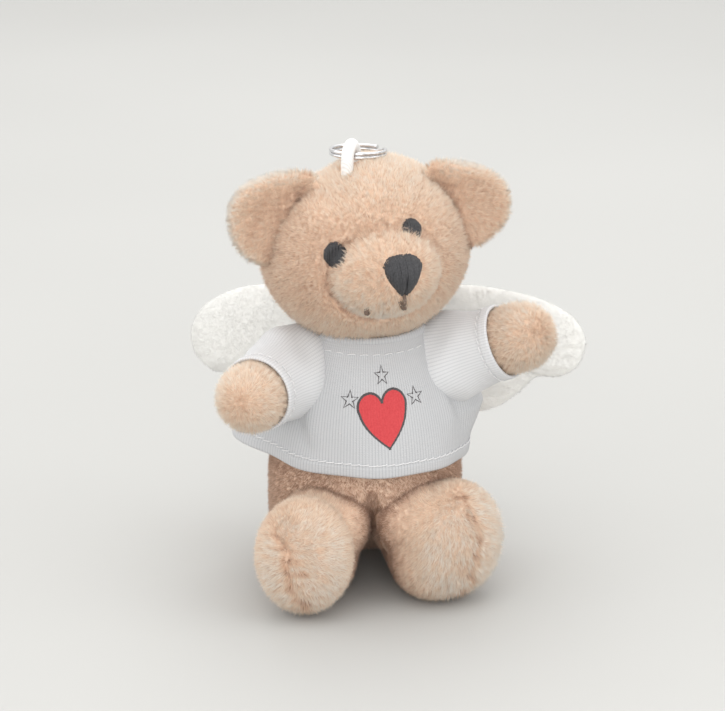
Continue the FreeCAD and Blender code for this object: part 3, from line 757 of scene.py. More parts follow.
def satinPatch(name, patch, line, look):
    bpy.context.view_layer.update()
    draw = np.random.default_rng(look["seed"])
    half = np.abs(line[:, 0]).max()

    def raised(across, up, low, high):
        middle, reach = 0.5 * (low + high), 0.5 * (high - low) + 0.05
        dome = math.sqrt(max(0.0, 1 - ((up - middle) / reach) ** 2))
        dome = dome * math.sqrt(max(0.0, 1 - (across / (half + 0.2)) ** 2))
        split = look["split"] * math.exp(-((across / 0.35) ** 2)) * (1 if up < middle else 0.15)
        sunk = tuckedBy(patch, across, up) if look["tucked"] else 0
        return onHead(patch, across, up) + look["rise"] * dome - split - sunk

    lines = []
    count = int(2 * half / look["pitch"])
    for index in range(count):
        across = -half + (index + 0.5) * 2 * half / count
        low, high = spanAt(line, across)
        low, high = low - draw.uniform(-0.1, 0.15), high + draw.uniform(-0.1, 0.15)
        sway = draw.uniform(-0.06, 0.06)
        run = []
        for share in np.linspace(0, 1, 9):
            up = low + share * (high - low)
            aside = across * (1 - look["gather"] * (1 - share)) + sway * math.sin(3 * share)
            run.append(patchPoint(patch, aside, up, raised(aside, up, low, high) + 0.25 * look["thread"]))
        lines.append(run)
    threads = threadTubes(name, lines, look["thread"])
    middle = np.array([0.0, 0.5 * (line[:, 1].min() + line[:, 1].max())])

    def under(turns, rows):
        rim = rimAt(line, (turns * len(line)) % len(line))
        share = 1 - np.abs(2 * rows - 1)
        flat = middle + share[:, None] * (rim * 0.97 - middle)
        heights = np.array([onHead(patch, x, y) for x, y in flat])
        if look["tucked"]:
            heights -= np.array([tuckedBy(patch, x, y) for x, y in flat])
        dome = np.where(rows > 0.5, 0.75 * look["rise"] * np.sqrt(np.maximum(0, 1 - share**2)), -0.5) - 0.1
        splitHere = (rows > 0.5) & (flat[:, 1] < middle[1])
        dome = dome - np.where(splitHere, look["split"] * hill(flat[:, 0], 0.35), 0)
        return patchPoint(patch, flat[:, :1], flat[:, 1:], (heights + dome)[:, None])

    pad = wrappedGrid(name + "Pad", 49, 21, under, closed=True)
    only(threads)
    pad.select_set(True)
    bpy.ops.object.join()
    bpy.ops.object.shade_smooth()
    return named(bpy.context.object, name)


ovalLine = np.array([(0.5 * eyeSize["width"] * math.cos(turn), 0.5 * eyeSize["height"] * math.sin(turn))
                     for turn in np.linspace(0, 2 * math.pi, 64, endpoint=False)])
eyeLook = {"pitch": 0.3, "thread": 0.19, "rise": 1.0, "split": 0.12, "gather": 0.0}
noseLook = {"pitch": 0.32, "thread": 0.2, "rise": 1.1, "split": 0.55, "gather": 0.18, "seed": 4,
            "tucked": False}
satins = {"eye_left": ("eyeLeft", eyes["left"], ovalLine, dict(eyeLook, seed=5, tucked=False)),
          "eye_right": ("eyeRight", eyes["right"], ovalLine * eyeSize["rightShare"],
                        dict(eyeLook, seed=6, tucked=True)),
          "nose": ("nose", noseSpot, noseLine, noseLook)}
for node, satin in satins.items():
    finished(satinPatch(*satin), blackThread, "black_thread", "head", node)

# mouth: loose stitches, each with how far it stands off and its points from its spot
mouths = {"mouth_stitch": {"name": "mouthStitch", "place": (3.4, -26.9, 73.0), "radius": 0.34,
                           "runs": [(1.35, [(0.1, 2.4), (0.05, 1.6), (-0.25, 0.7), (-0.3, 0.0)]),
                                    (1.35, [(0.35, 2.2), (0.25, 1.4), (0.0, 0.6), (-0.1, -0.1)]),
                                    (1.3, [(-0.4, 0.3), (0.3, -0.3), (0.9, -0.9), (1.5, -1.1)]),
                                    (1.3, [(-0.5, 0.4), (-0.2, -0.2), (0.5, -0.9), (0.9, -1.4)])]},
          "mouth_side_stitch": {"name": "mouthSideStitch", "place": head["mouthCorner"], "radius": 0.38,
                                "runs": [(1.35, [(-0.3, 0.9), (-0.25, 0.4), (-0.1, -0.3), (0.1, -0.8)]),
                                         (1.35, [(0.1, 0.8), (0.05, 0.3), (0.2, -0.3), (0.4, -0.7)])]}}
for node, mouth in mouths.items():
    patch = patchOn(mouth["place"], snout)
    runs = [[patchPoint(patch, x, y, onHead(patch, x, y) + lift * share)
             for (x, y), share in zip(spots, (0, 1, 1, 0))] for lift, spots in mouth["runs"]]
    finished(threadTubes(mouth["name"], runs, mouth["radius"]), brownThread, "brown_thread", "head", node)
print("face made")

# ears: thick rims curled forwards round a shallow hollow, their inner ends sunk into the head
earSize = {"half": 3.4, "hollow": 1.0, "cup": 1.0, "lean": 8.0, "sunk": 2.2, "base": 20.5}
ears = {"left": {"sign": -1, "centre": (-20.6, -8.0, 86.9),
                 "rim": [(-180, 8.0), (-130, 8.0), (-90, 8.2), (-62, 9.6), (-45, 10.1), (-18, 10.2),
                         (14, 10.6), (40, 10.6), (62, 10.2), (86, 10.5), (112, 11.6), (130, 12.4),
                         (150, 11.2)]},
        "right": {"sign": 1, "centre": (22.0, -7.0, 87.7),
                  "rim": [(-180, 8.0), (-130, 7.4), (-84, 7.6), (-55, 7.5), (-21, 8.2), (0, 8.7), (26, 9.2),
                          (48, 9.3), (74, 9.4), (96, 10.3), (114, 11.8), (130, 13.2), (150, 12.0)]}}
earCoat = dict(plainCoat, perMm2=23.0, length=1.5, lean=0.4, tuft=0.35, rows=0.35, rowPaintedShading=0.10, depth=0.7,
               seed=51)
for side, ear in ears.items():
    sign, centre = ear["sign"], np.array(ear["centre"])
    lean = math.radians(sign * earSize["lean"])
    facing = np.array([math.sin(lean), -math.cos(lean), 0])
    outward = np.array([sign * math.cos(lean), sign * math.sin(lean), 0])
    rim = smoothLine([(reach * math.cos(math.radians(turn)), reach * math.sin(math.radians(turn)))
                      for turn, reach in ear["rim"]], 120, closed=True)
    hinge = unit(centre - head["centre"])
    base = head["centre"] + hinge * earSize["base"]

    def earShape(turns, rows):
        turn, polar = 2 * math.pi * turns, math.pi * rows
        share = np.sin(polar) ** 0.9
        radius = reachAt(rim, turn) * share
        depth = -earSize["half"] * np.sign(np.cos(polar)) * np.abs(np.cos(polar)) ** 0.7
        hollow = np.where(depth > 0, earSize["hollow"], 0.2) * (1 - share**2)
        cup = earSize["cup"] * share**3
        inner = ramp(-radius * np.cos(turn), 1, 9)
        depth = depth * (1 - 0.5 * inner) - earSize["sunk"] * inner
        return (centre + outward * (radius * np.cos(turn))[:, None]
                + np.array([0, 0, 1.0]) * (radius * np.sin(turn))[:, None]
                + facing * (depth - hollow + cup)[:, None])

    def earToneAndPaintedLight(points):
        off = points - centre
        out = np.linalg.norm(off - facing * (off @ facing)[:, None], axis=1)
        # rims painted paler as light through the fur, darker where the ear meets the head as painted shade
        return 0.51 + 0.42 * ramp(out, 6.5, 11.0) - 0.42 * hill((points - base) @ hinge, 2.4)

    pad = wrappedGrid("earPad" + side.title(), 97, 49, earShape, closed=True)
    joint = bending("head", "ear_" + side, base, hinge, -1, 5)
    finished(pad, plushBacking, "plush", joint)
    furHalves(pad, side, ("earFur", "ear"), earCoat, (tanFur, "plush", joint),
              [("Front", 1, 7 * sign + 5), ("Back", -1, 7 * sign + 4)], centre, facing,
              lambda p: unit(p - centre) + 0.6 * hinge, earToneAndPaintedLight, lambda p: ballReach(p, skull, 0.2) > 1)
print("ears made")

# torso under the shirt
torso = {"line": [(0.0, 0.0), (6.5, 0.0), (13.0, 0.0), (18.75, 4.56), (21.26, 11.78), (21.8, 19.0),
                  (21.47, 28.0), (19.9, 36.0), (18.0, 44.0), (14.4, 50.0), (10.78, 54.2), (8.6, 56.0),
                  (4.0, 56.4), (0.0, 56.4)],
         "press": 0.03, "groove": 20.5, "grooveFrom": 12, "grooveWidth": 4.6, "furLow": 0.3, "furTop": 33,
         "seamTop": (0, 0, 56.0), "seamWay": (0, 56.0, 16.0)}
torsoLine = np.maximum(smoothLine(torso["line"], 260), 0)
legs = {"left": {"sign": -1, "aim": -12.0, "hip": (-14.45, -13.0, 13.7), "parting": -5.5, "slant": 0.33,
                 "fan": 0.7, "fall": 0.1,
                 "balls": {"foot": ((-17.7, -25.0, 14.6), (10.4, 7.8, 13.1)),
                           "thigh": ((-11.9, -16.2, 18.0), (9.7, 11.2, 9.0)),
                           "calf": ((-14.6, -17.5, 12.0), (9.6, 8.6, 11.6)),
                           "lap": ((-8.3, -19.4, 19.4), (5.9, 6.8, 6.4))}},
        "right": {"sign": 1, "aim": 28.0, "hip": (11.85, -13.0, 13.7), "parting": 0.5, "slant": 0.0,
                  "fan": 0.0, "fall": 0.9,
                  "balls": {"foot": ((16.2, -20.2, 14.6), (11.8, 9.6, 13.1)),
                            "thigh": ((9.4, -16.8, 17.6), (9.4, 13.0, 9.8)),
                            "calf": ((12.2, -19.0, 12.0), (9.8, 10.0, 11.8)),
                            "lap": ((5.4, -19.6, 19.0), (5.9, 6.8, 6.5))}}}


def offBody(points):
    # how far outside the torso's side
    radius, height = torsoLine[60:220].T
    return np.hypot(points[:, 0], points[:, 1]) - np.interp(points[:, 2], height, radius)


def seatLift(points):
    # the seat is drawn up in a groove that runs back between the thighs
    aside = points[:, 0] - 1.3 - 0.158 * points[:, 1]
    rise = np.clip(0.64 * (torso["grooveFrom"] - points[:, 1]), 0, torso["groove"])
    return rise * hill(aside, torso["grooveWidth"])


def torsoShape(turns, rows):
    # thighs press the belly in a little
    radius, height, turn = turned(torsoLine, turns, rows)
    pressed = torso["press"] * hill(np.abs(apart(turn, 0)) - 0.7, 0.3) * ramp(height, 26, 10)
    points = roundPlace(radius * (1 - pressed), turn, height)
    points[:, 2] += seatLift(points) * ramp(points[:, 2], 36, 0)
    return points


def legShares(points, grow=0.0):
    # for each ball of the legs: 1 on its skin, less inside it
    return [np.linalg.norm(((points - centre) @ turnedFrame(leg["aim"])) / (np.array(halves) + grow), axis=1)
            for leg in legs.values() for centre, halves in leg["balls"].values()]


def torsoPaintedShade(points):
    # the belly is painted dark as shade under the shirt, darker against the legs and higher up under the hem
    shadow = sum(hill(share - 1, 0.13) for share in legShares(points))
    return 0.18 - 0.25 * shadow - 0.12 * ramp(points[:, 2], 24, 31)


def torsoShown(points):
    hidden = np.min(legShares(points, -0.4), axis=0) < 1
    return (points[:, 2] < torso["furTop"]) & (points[:, 2] > torso["furLow"]) & ~hidden


torsoPad = wrappedGrid("torsoPad", 145, 101, torsoShape, closed=True)
finished(torsoPad, plushBacking, "stuffing", "torso", "torso_stuffing")
torsoCoat = dict(plainCoat, perMm2=15.0, length=1.0, thick=0.085, lean=0.5, tuft=0.3, wave=1.4, rows=0.2,
                 rowPaintedShading=0.05, seed=71)
for panel, half in (("Front", 1), ("Back", -1)):
    fur = growFur("torsoFur" + panel, torsoPad, dict(torsoCoat, seed=torsoCoat["seed"] + half),
                  lambda p: np.array([0, 0, -1.0]), torsoPaintedShade,
                  lambda p: (half * ((p - torso["seamTop"]) @ torso["seamWay"]) < 0) & torsoShown(p))
    finished(fur, tanFur, "plush", "torso", f"torso_{panel.lower()}_panel")
print("torso made")

# legs: long soft fur on the soles, parted down the middle
legCoat = dict(plainCoat, perMm2=20.0, length=1.7, lean=0.65, tuft=0.32, depth=0.7, seed=81)
lapMiddle = (-1, -19)


def legShown(points):
    inBody = (offBody(points) < -0.6) & (points[:, 2] > seatLift(points) - 0.6)
    return ~inBody & (points[:, 2] > 0.15)


for side, leg in legs.items():
    sign, way, foot = leg["sign"], aimWay(leg["aim"], 0), np.array(leg["balls"]["foot"][0])
    across = np.cross([0, 0, 1.0], way)
    balls = [(*ball, (0, 0, leg["aim"])) for ball in leg["balls"].values()]
    pad = ballForm("legPad" + side.title(), balls, rounds=6)
    points = pointsOf(pad)

    def fromParting(points):
        # how far to the side of the sole's wandering parting
        wander = 0.7 * np.sin(0.45 * points[:, 2]) + 0.4 * np.sin(1.1 * points[:, 2] + 1)
        return (points - foot) @ across - leg["parting"] - leg["slant"] * (21 - points[:, 2]) - wander

    # the sole is a little flat and its parting is pulled in
    along = (points - foot) @ way
    drawnIn = 0.45 * hill(fromParting(points), 1.0) * ramp(along, 4, 8) + 0.12 * np.maximum(along - 6, 0)
    points = points - way * drawnIn[:, None]
    points[:, 2] = np.maximum(points[:, 2], pile["lowest"])
    movePoints(pad, points)

    def legComb(points):
        # out from the parting like a fan, or down, and back along the leg
        sole, aside = ramp((points - foot) @ way, 0, 5)[:, None], fromParting(points)
        parted = across * (np.tanh(aside / 1.5) * (0.8 - 0.3 * ramp(np.abs(aside), 2, 8)))[:, None]
        parted[:, 2] += leg["fan"] * (points[:, 2] - foot[2]) / 10 - leg["fall"]
        return sole * parted + (1 - sole) * (np.array([0, 0, -0.5]) - 0.8 * way)

    def legGrain(points):
        # the pile lies in streaks that follow the comb
        aside = fromParting(points)
        height = (points[:, 2] - foot[2]) / (1 + 0.05 * leg["fan"] * np.abs(aside)) * (1 - 0.6 * leg["fall"])
        return np.stack([aside * (1 - 0.9 * leg["fan"]), (points - foot) @ way, height], axis=1)

    def legToneAndPaintedShade(points):
        # pale soles, darker against the body and between the thighs, where the darkening is painted shade
        sole, aside = ramp((points - foot) @ way, 1, 6), fromParting(points)
        # dark streaks between the tufts are painted shade
        streaks = np.minimum(ripple(legGrain(points), 1.5, 9), 0) * (0.16 + 0.40 * hill(aside, 4.5))
        tone = 0.54 + 0.33 * sole + sole * (streaks - 0.45 * hill(aside, 0.7))
        fromLap = np.linalg.norm(points[:, :2] - lapMiddle, axis=1)
        return tone - 0.36 * hill(offBody(points), 1.8) - 0.34 * ramp(fromLap, 12, 4)

    joint = bending("torso", "leg_" + side, leg["hip"], way, -4, 5)
    finished(pad, plushBacking, "stuffing", joint, f"leg_{side}_stuffing")
    furHalves(pad, side, ("legFur", "leg"), legCoat, (tanFur, "plush", joint),
              [("Outer", -sign, 4 * sign), ("Inner", sign, 6 * sign)], foot, across, legComb, legToneAndPaintedShade,
              legShown, lambda p: 0.62 + 0.45 * ramp((p - foot) @ way, -1, 5), legGrain)
print("legs made")

# arms: paws come out of the sleeves
arms = {"left": {"sign": -1, "shoulder": np.array([-15.5, -3.0, 51.0]), "way": aimWay(-35.4, 0.0),
                 "sleeve": 20.5},
        "right": {"sign": 1, "shoulder": np.array([15.5, -3.0, 51.0]), "way": aimWay(56.3, 22.6),
                  "sleeve": 18.5}}
armLine = smoothLine([(0, -3.8), (2.6, -3.0), (4.2, -1.0), (5.3, 2.0), (6.1, 6.5), (6.3, 14.1), (6.9, 22.8),
                      (5.66, 26.7), (3.1, 29.2), (0, 29.7)], 120)
pawCoat = dict(plainCoat, perMm2=24.0, length=1.5, lean=0.5, tuft=0.4, depth=0.8, mottle=0.12, seed=111)


def alongArm(arm, points):
    return (points - arm["shoulder"]) @ arm["way"]


def armPoint(arm, radius, along, turn):
    # turn starts at the top and goes round the arm
    ring = arm["over"] * np.cos(turn)[:, None] + arm["swing"] * np.sin(turn)[:, None]
    return arm["shoulder"] + arm["way"] * along[:, None] + ring * radius[:, None]


for side, arm in arms.items():
    sign, shoulder, way = arm["sign"], arm["shoulder"], arm["way"]
    arm["swing"] = unit(np.cross(way, [0, 0, 1.0]))
    arm["over"] = np.cross(arm["swing"], way)
    pad = wrappedGrid("armPad" + side.title(), 73, 61,
                      lambda turns, rows: armPoint(arm, *turned(armLine, turns, rows)), closed=True)
    joint = bending("torso", "arm_" + side, shoulder, way, -3, 6)
    finished(pad, plushBacking, "stuffing", joint, f"arm_{side}_stuffing")

    def pawToneAndPaintedShade(points):
        along = alongArm(arm, points)
        tone = 0.66 + 0.06 * ramp(along, 18, 26) - 0.22 * hill(along - 30.4, 1.6)
        # painted shade just out of the cuff
        return tone - 0.2 * hill(along - arm["sleeve"] + 1, 2.5)

    furHalves(pad, side, ("pawFur", "arm"), pawCoat, (tanFur, "plush", joint),
              [("Front", 1, 5 * sign - 1), ("Back", -1, 5 * sign + 1)], shoulder, arm["over"],
              lambda p: unit(p - shoulder - way * 34) * 0.9 - 0.3 * way + np.array([0, 0, -0.15]), pawToneAndPaintedShade,
              lambda p: alongArm(arm, p) > arm["sleeve"] - 2)
print("arms made")

# knitted shirt: wales stand out in the mesh, stitches are in its finish
# webs give a turn, a width and how far out at some heights
# folds give a depth, a turn and its drift, a width, and where they fade low and high
knit = {"courses": 64, "relief": 0.05, "lip": 0.45}
shirt = {"line": [(23.9, 29.0), (24.0, 32.0), (23.6, 36.0), (22.4, 42.0), (20.5, 48.0), (18.4, 53.0),
                  (16.4, 57.0), (14.6, 60.4), (14.2, 63.0)],
         "bottom": [(-3.142, 30.8), (-2.3, 31.4), (-1.75, 33.2), (-1.25, 32.9), (-0.8, 31.7), (-0.13, 31.3),
                    (0.42, 31.2), (0.85, 30.6), (1.21, 29.9), (1.75, 30.2), (2.4, 30.6), (3.142, 30.8)],
         "webs": [(-1.75, 0.40, [30, 34, 38, 43, 48, 53], [6.2, 7.0, 6.2, 4.8, 2.2, 0.0]),
                  (1.6, 0.48, [30, 33, 35, 37.5, 41, 44, 49, 54],
                   [-1.3, -0.6, 0.5, 2.5, 4.8, 4.6, 2.0, 0.0])],
         "folds": [(-0.8, -0.92, -0.02, 0.10, (33, 39), (55, 49)), (0.5, -0.76, 0, 0.12, (35, 42), (55, 49)),
                   (-0.6, 0.98, -0.015, 0.09, (34, 40), (55, 50)), (0.4, 0.84, 0, 0.10, (36, 42), (55, 50))],
         "top": 60.9, "topLean": 1.3, "innerRows": 0.08, "lipRows": 0.06, "turnedUp": 2.4, "fold": 0.9,
         "hem": 2.2, "wales": 208, "hemStitch": 0.8, "collarStitch": 2.1}
shirtLine = smoothLine(shirt["line"], 160)
hemLine = smoothLine(shirt["bottom"], 240)


def hemHeight(turn):
    # the lowest edge of the cloth
    return np.interp(apart(turn, 0), hemLine[:, 0], hemLine[:, 1])


def collarHeight(turn):
    return shirt["top"] - shirt["topLean"] * np.cos(turn)


def shirtRadius(turn, height):
    # plain shape, waves towards the hem, webs under the arms and folds that run down from the armpits
    low = ramp(height, 46, 31)
    radius = np.interp(height, shirtLine[:, 1], shirtLine[:, 0])
    radius = radius + 0.35 * np.sin(5 * turn + 0.6) * low + 0.3 * np.sin(9 * turn + 2.0) * low**2
    for at, width, heights, reach in shirt["webs"]:
        radius = radius + np.interp(height, heights, reach) * hill(apart(turn, at), width)
    for depth, at, drift, width, below, above in shirt["folds"]:
        fold = hill(apart(turn, at + drift * (height - 44)), width)
        radius = radius + depth * fold * ramp(height, *below) * ramp(height, *above)
    return radius


def knittedRadius(turn, height):
    return shirtRadius(turn, height) + knit["relief"] * np.cos(turn * shirt["wales"])


def foldedEdge(rows, cloth):
    # an edge folded under: shares along the outside, how far back from the lip and how far under the cloth
    innerRows, lipRows, thick = cloth["innerRows"], cloth["lipRows"], cloth["fold"]
    inner, lip = rows < innerRows, (rows >= innerRows) & (rows < innerRows + lipRows)
    lipTurn = math.pi * (rows - innerRows) / lipRows
    share = np.clip((rows - innerRows - lipRows) / (1 - innerRows - lipRows), 0, 1)
    back = np.where(inner, cloth["turnedUp"] * (1 - rows / innerRows),
                    np.where(lip, -knit["lip"] * np.sin(lipTurn), 0))
    under = np.where(inner, thick, np.where(lip, 0.5 * thick * (1 + np.cos(lipTurn)), 0))
    return share, back, under


def shirtShape(turnLow, turnHigh):
    def shape(shares, rows):
        turn = turnLow + (turnHigh - turnLow) * shares
        share, back, under = foldedEdge(rows, shirt)
        bottom = hemHeight(turn) + knit["lip"]
        height = bottom + share * (collarHeight(turn) - bottom) + back
        doubled = 0.28 * ramp(height - bottom, shirt["hem"] + 0.2, shirt["hem"] - 0.2)
        return roundPlace(knittedRadius(turn, height) + doubled - under, turn, height)
    return shape


def setKnitMap(piece, wales, courses):
    # one map unit a wale and a course
    places = np.empty(2 * len(piece.data.loops), np.float32)
    piece.data.uv_layers[0].data.foreach_get("uv", places)
    places = places.reshape(-1, 2) * (wales, courses)
    piece.data.uv_layers[0].data.foreach_set("uv", places.astype(np.float32).ravel())


for panel, low, high in (("Front", -0.5, 0.5), ("Back", 0.5, 1.5)):
    half = wrappedGrid("shirt" + panel, 2 * shirt["wales"] + 1, 71, shirtShape(low * math.pi, high * math.pi))
    setKnitMap(half, shirt["wales"] / 2, knit["courses"])
    finished(half, shadedShirtJersey, "jersey", "torso", "shirt_" + panel.lower())

# sleeves join the shirt at the armhole and open at the cuff
sleeve = {"cuff": 8.35, "armhole": 11.0, "innerRows": 0.1, "lipRows": 0.08, "turnedUp": 3.0, "fold": 0.8,
          "hem": 2.1, "wales": 80, "courses": 2, "spare": 4, "highest": 59.5, "cuffStitch": 2.35}


def closedBehind(points, along):
    # behind the shoulder the armhole seam pulls the sleeve in against the back
    turn, around = np.arctan2(points[:, 0], -points[:, 1]), np.hypot(points[:, 0], points[:, 1])
    drawn = ramp(along, 4.5, -1.0) * ramp(points[:, 1], -4, 1.5)
    spare = np.maximum(around - shirtRadius(turn, points[:, 2]) + 1.0, 0)
    high = np.maximum(points[:, 2] - sleeve["highest"], 0)
    return roundPlace(around - drawn * spare, turn, points[:, 2] - drawn * high)


def sleeveShape(arm):
    def shape(turns, rows):
        turn = 2 * math.pi * turns
        share, back, under = foldedEdge(rows, sleeve)
        along = arm["sleeve"] - 0.3 - share * (arm["sleeve"] + 1.0) - back
        wide = ramp(along, arm["sleeve"] - 2.5, 2)
        radius = sleeve["cuff"] + (sleeve["armhole"] - sleeve["cuff"]) * wide
        radius = radius + 0.35 * np.sin(3 * turn + 0.28 * along) * ramp(along, 16, 7)
        radius = radius + 0.25 * np.sin(5 * turn - 0.5 * along) * ramp(along, 14, 6)
        radius = radius + knit["relief"] * np.cos(turn * sleeve["wales"])
        doubled = 0.22 * ramp(along, arm["sleeve"] - sleeve["hem"] - 0.2, arm["sleeve"] - sleeve["hem"] + 0.2)
        return closedBehind(armPoint(arm, radius + doubled - under, along, -turn), along)
    return shape


for side, arm in arms.items():
    piece = wrappedGrid("sleeve" + side.title(), 4 * sleeve["wales"] + 1, 61, sleeveShape(arm), closed=True)
    flatLong = arm["sleeve"] + sleeve["spare"]
    setKnitMap(piece, sleeve["wales"], sleeve["courses"] * flatLong)
    joint = bending("torso", "arm_" + side, arm["shoulder"], arm["way"], 2, 12)
    finished(piece, litSleeveJersey, "jersey", joint, "sleeve_" + side)
print("shirt made")

# neckband: the collar's edge rolled over, with short ribs
band = {"radius": 14.0, "thick": 1.15, "tall": 1.15, "deep": 0.75, "ribs": 130, "rib": 0.08, "courses": 6}


def bandShape(turns, rows):
    turn, over = 2 * math.pi * turns, 2 * math.pi * rows
    swell = band["thick"] * (1 + band["rib"] * np.cos(band["ribs"] * turn))
    radius = band["radius"] + band["deep"] * swell * np.cos(over)
    return roundPlace(radius, turn, collarHeight(turn) + band["tall"] * swell * np.sin(over))


neckband = wrappedGrid("neckband", band["ribs"] * 4 + 1, 17, bandShape, closed=True)
setKnitMap(neckband, band["ribs"], band["courses"])
finished(neckband, shadedShirtJersey, "jersey", "torso", "neckband")

# running stitches: short threads bent over the cloth in a ring, by their ends and the cloth's outward way
bedded = 0.25
neckStitch = {"radius": 6.6, "height": 57.0, "behind": 1}
draw = np.random.default_rng(7)


def stitchRing(name, endsAt, *declaring, count, radius, lift):
    lines = []
    for index in range(count):
        start, end, out = endsAt(2 * math.pi * index / count)
        middle = 0.5 * (start + end) + out * (lift + 0.06)
        lines.append([start - out * bedded, start + out * lift, middle, end + out * lift, end - out * bedded])
    finished(threadTubes(name, lines, radius), *declaring)


def onShirt(turn, height):
    return roundPlace(shirtRadius(turn, height) + 0.1, turn, height)


def hemEnds(turn):
    turn = turn - math.pi
    height = hemHeight(turn) + shirt["hem"] + shirt["hemStitch"] + draw.uniform(-0.08, 0.08)
    long = draw.uniform(0.036, 0.044)
    return onShirt(turn - long, height - 0.1), onShirt(turn + long, height + 0.12), roundPlace(1, turn, 0)


def collarEnds(turn):
    height = collarHeight(turn) - shirt["collarStitch"]
    return onShirt(turn - 0.05, height), onShirt(turn + 0.05, height + 0.1), unit(roundPlace(1, turn, 0.9))


def neckEnds(turn):
    start, end = (roundPlace(neckStitch["radius"], turn + off, neckStitch["height"] + up)
                  for off, up in ((-0.09, -0.3), (0.09, 0.3)))
    behind = np.array([0, neckStitch["behind"], 0])
    return start - behind, end - behind, roundPlace(1, turn, 0)


stitchRing("hemStitches", hemEnds, whiteThread, "white_thread", "torso", "hem_stitching",
           count=76, radius=0.13, lift=0.12)
stitchRing("neckStitches", collarEnds, whiteThread, "white_thread", "torso", count=36, radius=0.12, lift=0.1)
stitchRing("neckSeam", neckEnds, tanThread, "tan_thread", "neck", "neck_seam",
           count=24, radius=0.3, lift=0.15)
for side, arm in arms.items():
    along = arm["sleeve"] - sleeve["cuffStitch"]

    def cuffEnds(turn):
        start, end, middle = armPoint(arm, np.full(3, sleeve["cuff"] + 0.12),
                                      along + np.array([-0.06, 0.06, 0]), turn + np.array([-0.07, 0.07, 0]))
        return start, end, unit(middle - arm["shoulder"] - arm["way"] * along)

    stitchRing("cuffStitches" + side.title(), cuffEnds, whiteThread, "white_thread", "arm_" + side,
               f"cuff_{side}_stitching", count=26, radius=0.13, lift=0.1)
print("stitches made")

# chest print: a plain heart with a dark outline and three small plain stars in an arc above it
printed = {"width": 11.5, "height": 12.6, "middle": 44.2, "outline": 0.42, "turn": 2.6, "slant": 7.0,
           "film": 0.05, "deep": 0.08, "stars": [(-8.0, 48.4), (0.0, 53.4), (8.0, 48.4)], "starSize": 2.2,
           "valley": 0.42, "rim": 0.3, "across": 21.2, "low": 36.6, "tall": 19.4, "bend": 22.0}


def heartDistance(x, z):
    # below zero inside: two round lobes over a pointed body
    half, slant, z = 0.5 * printed["width"], math.radians(printed["slant"]), z - printed["middle"]
    x, z = x * math.cos(slant) + z * math.sin(slant), z * math.cos(slant) - x * math.sin(slant)
    x, z = np.abs(x) / half, z / (0.5 * printed["height"])
    lobe = np.hypot(x - 0.5, (z - 0.5) * 1.1) - 0.5
    lowered = np.clip((0.62 - z) / 1.62, 0, 1)
    body = np.where(z < 0.55, x - 0.985 * np.cos(0.5 * math.pi * lowered**1.12), 1.0)
    return np.minimum(lobe, np.maximum(body, -1 - z)) * half * 0.8


def starDistance(x, z):
    # an edge from a tip to a valley, as one straight line in polar form
    nearest, fold = np.full(len(x), 9.0), math.pi / 5
    tip, valley = printed["starSize"], printed["valley"] * printed["starSize"]
    for centre in printed["stars"]:
        turn = np.arctan2(x - centre[0], z - centre[1])
        point = np.abs((turn + fold) % (2 * fold) - fold)
        limit = tip * valley * math.sin(fold) / (tip * np.sin(point) + valley * np.sin(fold - point))
        nearest = np.minimum(nearest, np.hypot(x - centre[0], z - centre[1]) - limit)
    return nearest


def printShape(shares, rows):
    across, height = printed["across"] * (shares - 0.5), printed["low"] + printed["tall"] * rows
    turn = np.arcsin(across / printed["bend"]) + math.radians(printed["turn"])
    return roundPlace(knittedRadius(turn, height) + printed["film"], turn, height)


chestPrint = wrappedGrid("chestPrint", 297, 191, printShape)
x, y, z = (np.array([face.center for face in chestPrint.data.polygons]) / mm).T
flatX = printed["bend"] * np.sin(np.arctan2(x, -y) - math.radians(printed["turn"]))
heart, stars = heartDistance(flatX, z), starDistance(flatX, z)
inked = ((heart < 0.5 * printed["outline"]) | (stars < 0)) & (stars > -printed["rim"])
dark = (np.abs(heart) <= 0.5 * printed["outline"]) | (stars < 0)
for ink in (redInk, darkInk):
    chestPrint.data.materials.append(ink)
chestPrint.data.polygons.foreach_set("material_index", dark.astype(np.int32))
for parts in (chestPrint.data.vertices, chestPrint.data.edges):
    parts.foreach_set("select", np.zeros(len(parts), bool))
chestPrint.data.polygons.foreach_set("select", ~inked)
chestPrint.data.update()
only(chestPrint)
bpy.context.tool_settings.mesh_select_mode = (False, False, True)
bpy.ops.object.mode_set(mode="EDIT")
bpy.ops.mesh.delete(type="FACE")
bpy.ops.object.mode_set(mode="OBJECT")
bpy.context.tool_settings.mesh_select_mode = (True, False, False)
applyModifier(chestPrint, "SOLIDIFY", thickness=printed["deep"] * mm, offset=-1.0)
declared(chestPrint, "print_red", "torso", "chest_print")
print("print made")

# wings: padded fleece, drawn in at a seam round the rim
wings = {"left": {"sign": -1, "root": -3.0, "sweep": 46.0, "droop": 8.0,
                  "line": [(0, 5.6), (6, 8.0), (14, 9.6), (21, 9.9), (28.5, 8.9), (35, 6.9), (40.6, 4.2),
                           (44.6, 0.6), (46.8, -4.0), (45.6, -9.0), (41.6, -12.2), (36.6, -13.0),
                           (33.8, -13.6), (32.2, -16.6), (28, -19.8), (21.5, -20.6), (14.5, -18.2),
                           (8, -13.2), (2, -7.4), (-0.8, -1.0)]},
         "right": {"sign": 1, "root": 8.5, "sweep": -8.0, "droop": 0.0,
                   "line": [(0, 5.6), (8, 8.6), (15, 9.9), (21, 9.9), (28.5, 8.7), (35.4, 6.9), (41.0, 4.4),
                            (44.8, 1.6), (47.2, -2.4), (47.4, -6.4), (45.4, -10.6), (41.8, -12.7),
                            (37.4, -12.6), (35.2, -13.4), (32.4, -16.2), (27.0, -20.2), (20.5, -21.4),
                            (13.5, -18.2), (7, -12.2), (1.6, -6.6), (-0.8, -1.0)]}}
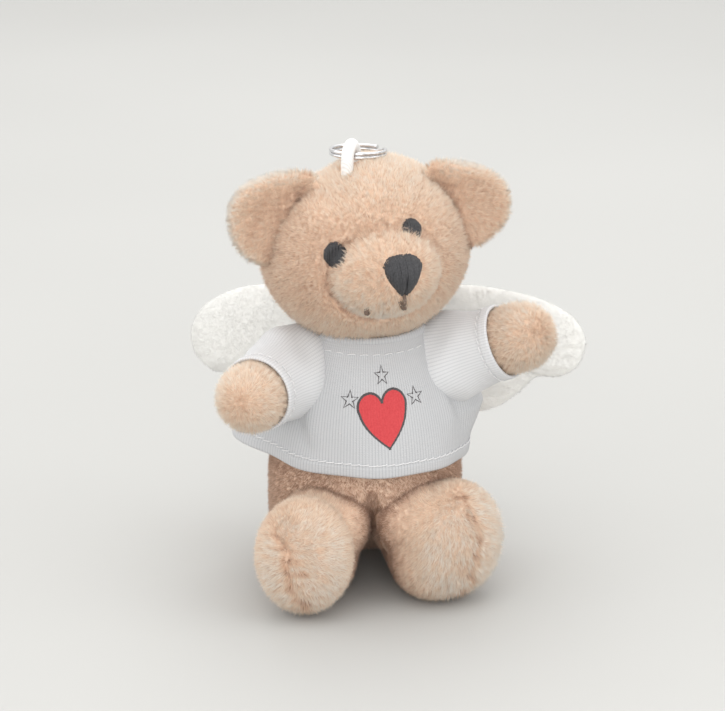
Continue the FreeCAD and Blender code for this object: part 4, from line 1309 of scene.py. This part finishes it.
wingSize = {"thick": 5.0, "depth": 22.3, "height": 52.0, "middle": (22.0, -4.2), "dent": 0.05,
            "bareWithin": 20.0, "shade": 0.62}
wingCoat = dict(plainCoat, perMm2=10.0, length=0.6, thick=0.08, lean=0.7, tuft=0.08, wave=2.4, messy=0.25,
                depth=0.3, seed=151)
for side, wing in wings.items():
    sign, line = wing["sign"], smoothLine(wing["line"], 144, closed=True)
    turnBack = turnedFrame(sign * wing["sweep"], sign * wing["droop"])
    rootSpot = np.array([wing["root"], wingSize["depth"], wingSize["height"]])
    outwards = turnBack @ (sign, 0, 0)

    def wingShape(turns, rows):
        place, middle = turns * len(line), wingSize["middle"]
        share = np.sin(0.5 * math.pi * (1 - np.abs(2 * rows - 1)))
        flat = middle + share[:, None] * (rimAt(line, place) - middle)
        face = np.where(rows > 0.5, 1.0, -1.0)
        puff = 0.5 * wingSize["thick"] * (1 - share**3.2) ** 0.62
        thin = 1 - 0.35 * ramp(-flat[:, 1], 13, 19)
        pucker = 1 + 0.07 * np.sin(place * 0.9 + 2 * np.sin(place * 0.21)) * ramp(share, 0.6, 0.93)
        spots = np.stack([sign * flat[:, 0], 0 * share, flat[:, 1]], axis=1)
        dents = wingSize["dent"] * ripple(spots + 9 * face[:, None], 14, 17) * (1 - share**4)
        spots[:, 1] = -face * (puff * thin * pucker + dents)
        return spots @ turnBack.T + rootSpot

    pad = wrappedGrid("wingPad" + side.title(), 145, 49, wingShape, closed=True)
    joint = bending("torso", "wing_" + side, rootSpot, outwards, 1, 8)
    finished(pad, fleeceBacking, "wing_fleece", joint, f"wing_{side}_stuffing")
    furHalves(pad, side, ("wingNap", "wing"), wingCoat, (fleeceNap, "wing_fleece", joint),
              [("Front", 1, 5 * sign + 1), ("Back", -1, 5 * sign - 1)], rootSpot, turnBack @ (0, -1, 0),
              lambda p: outwards, lambda p: wingSize["shade"],
              lambda p: np.hypot(p[:, 0], p[:, 1]) > wingSize["bareWithin"])
print("wings made")
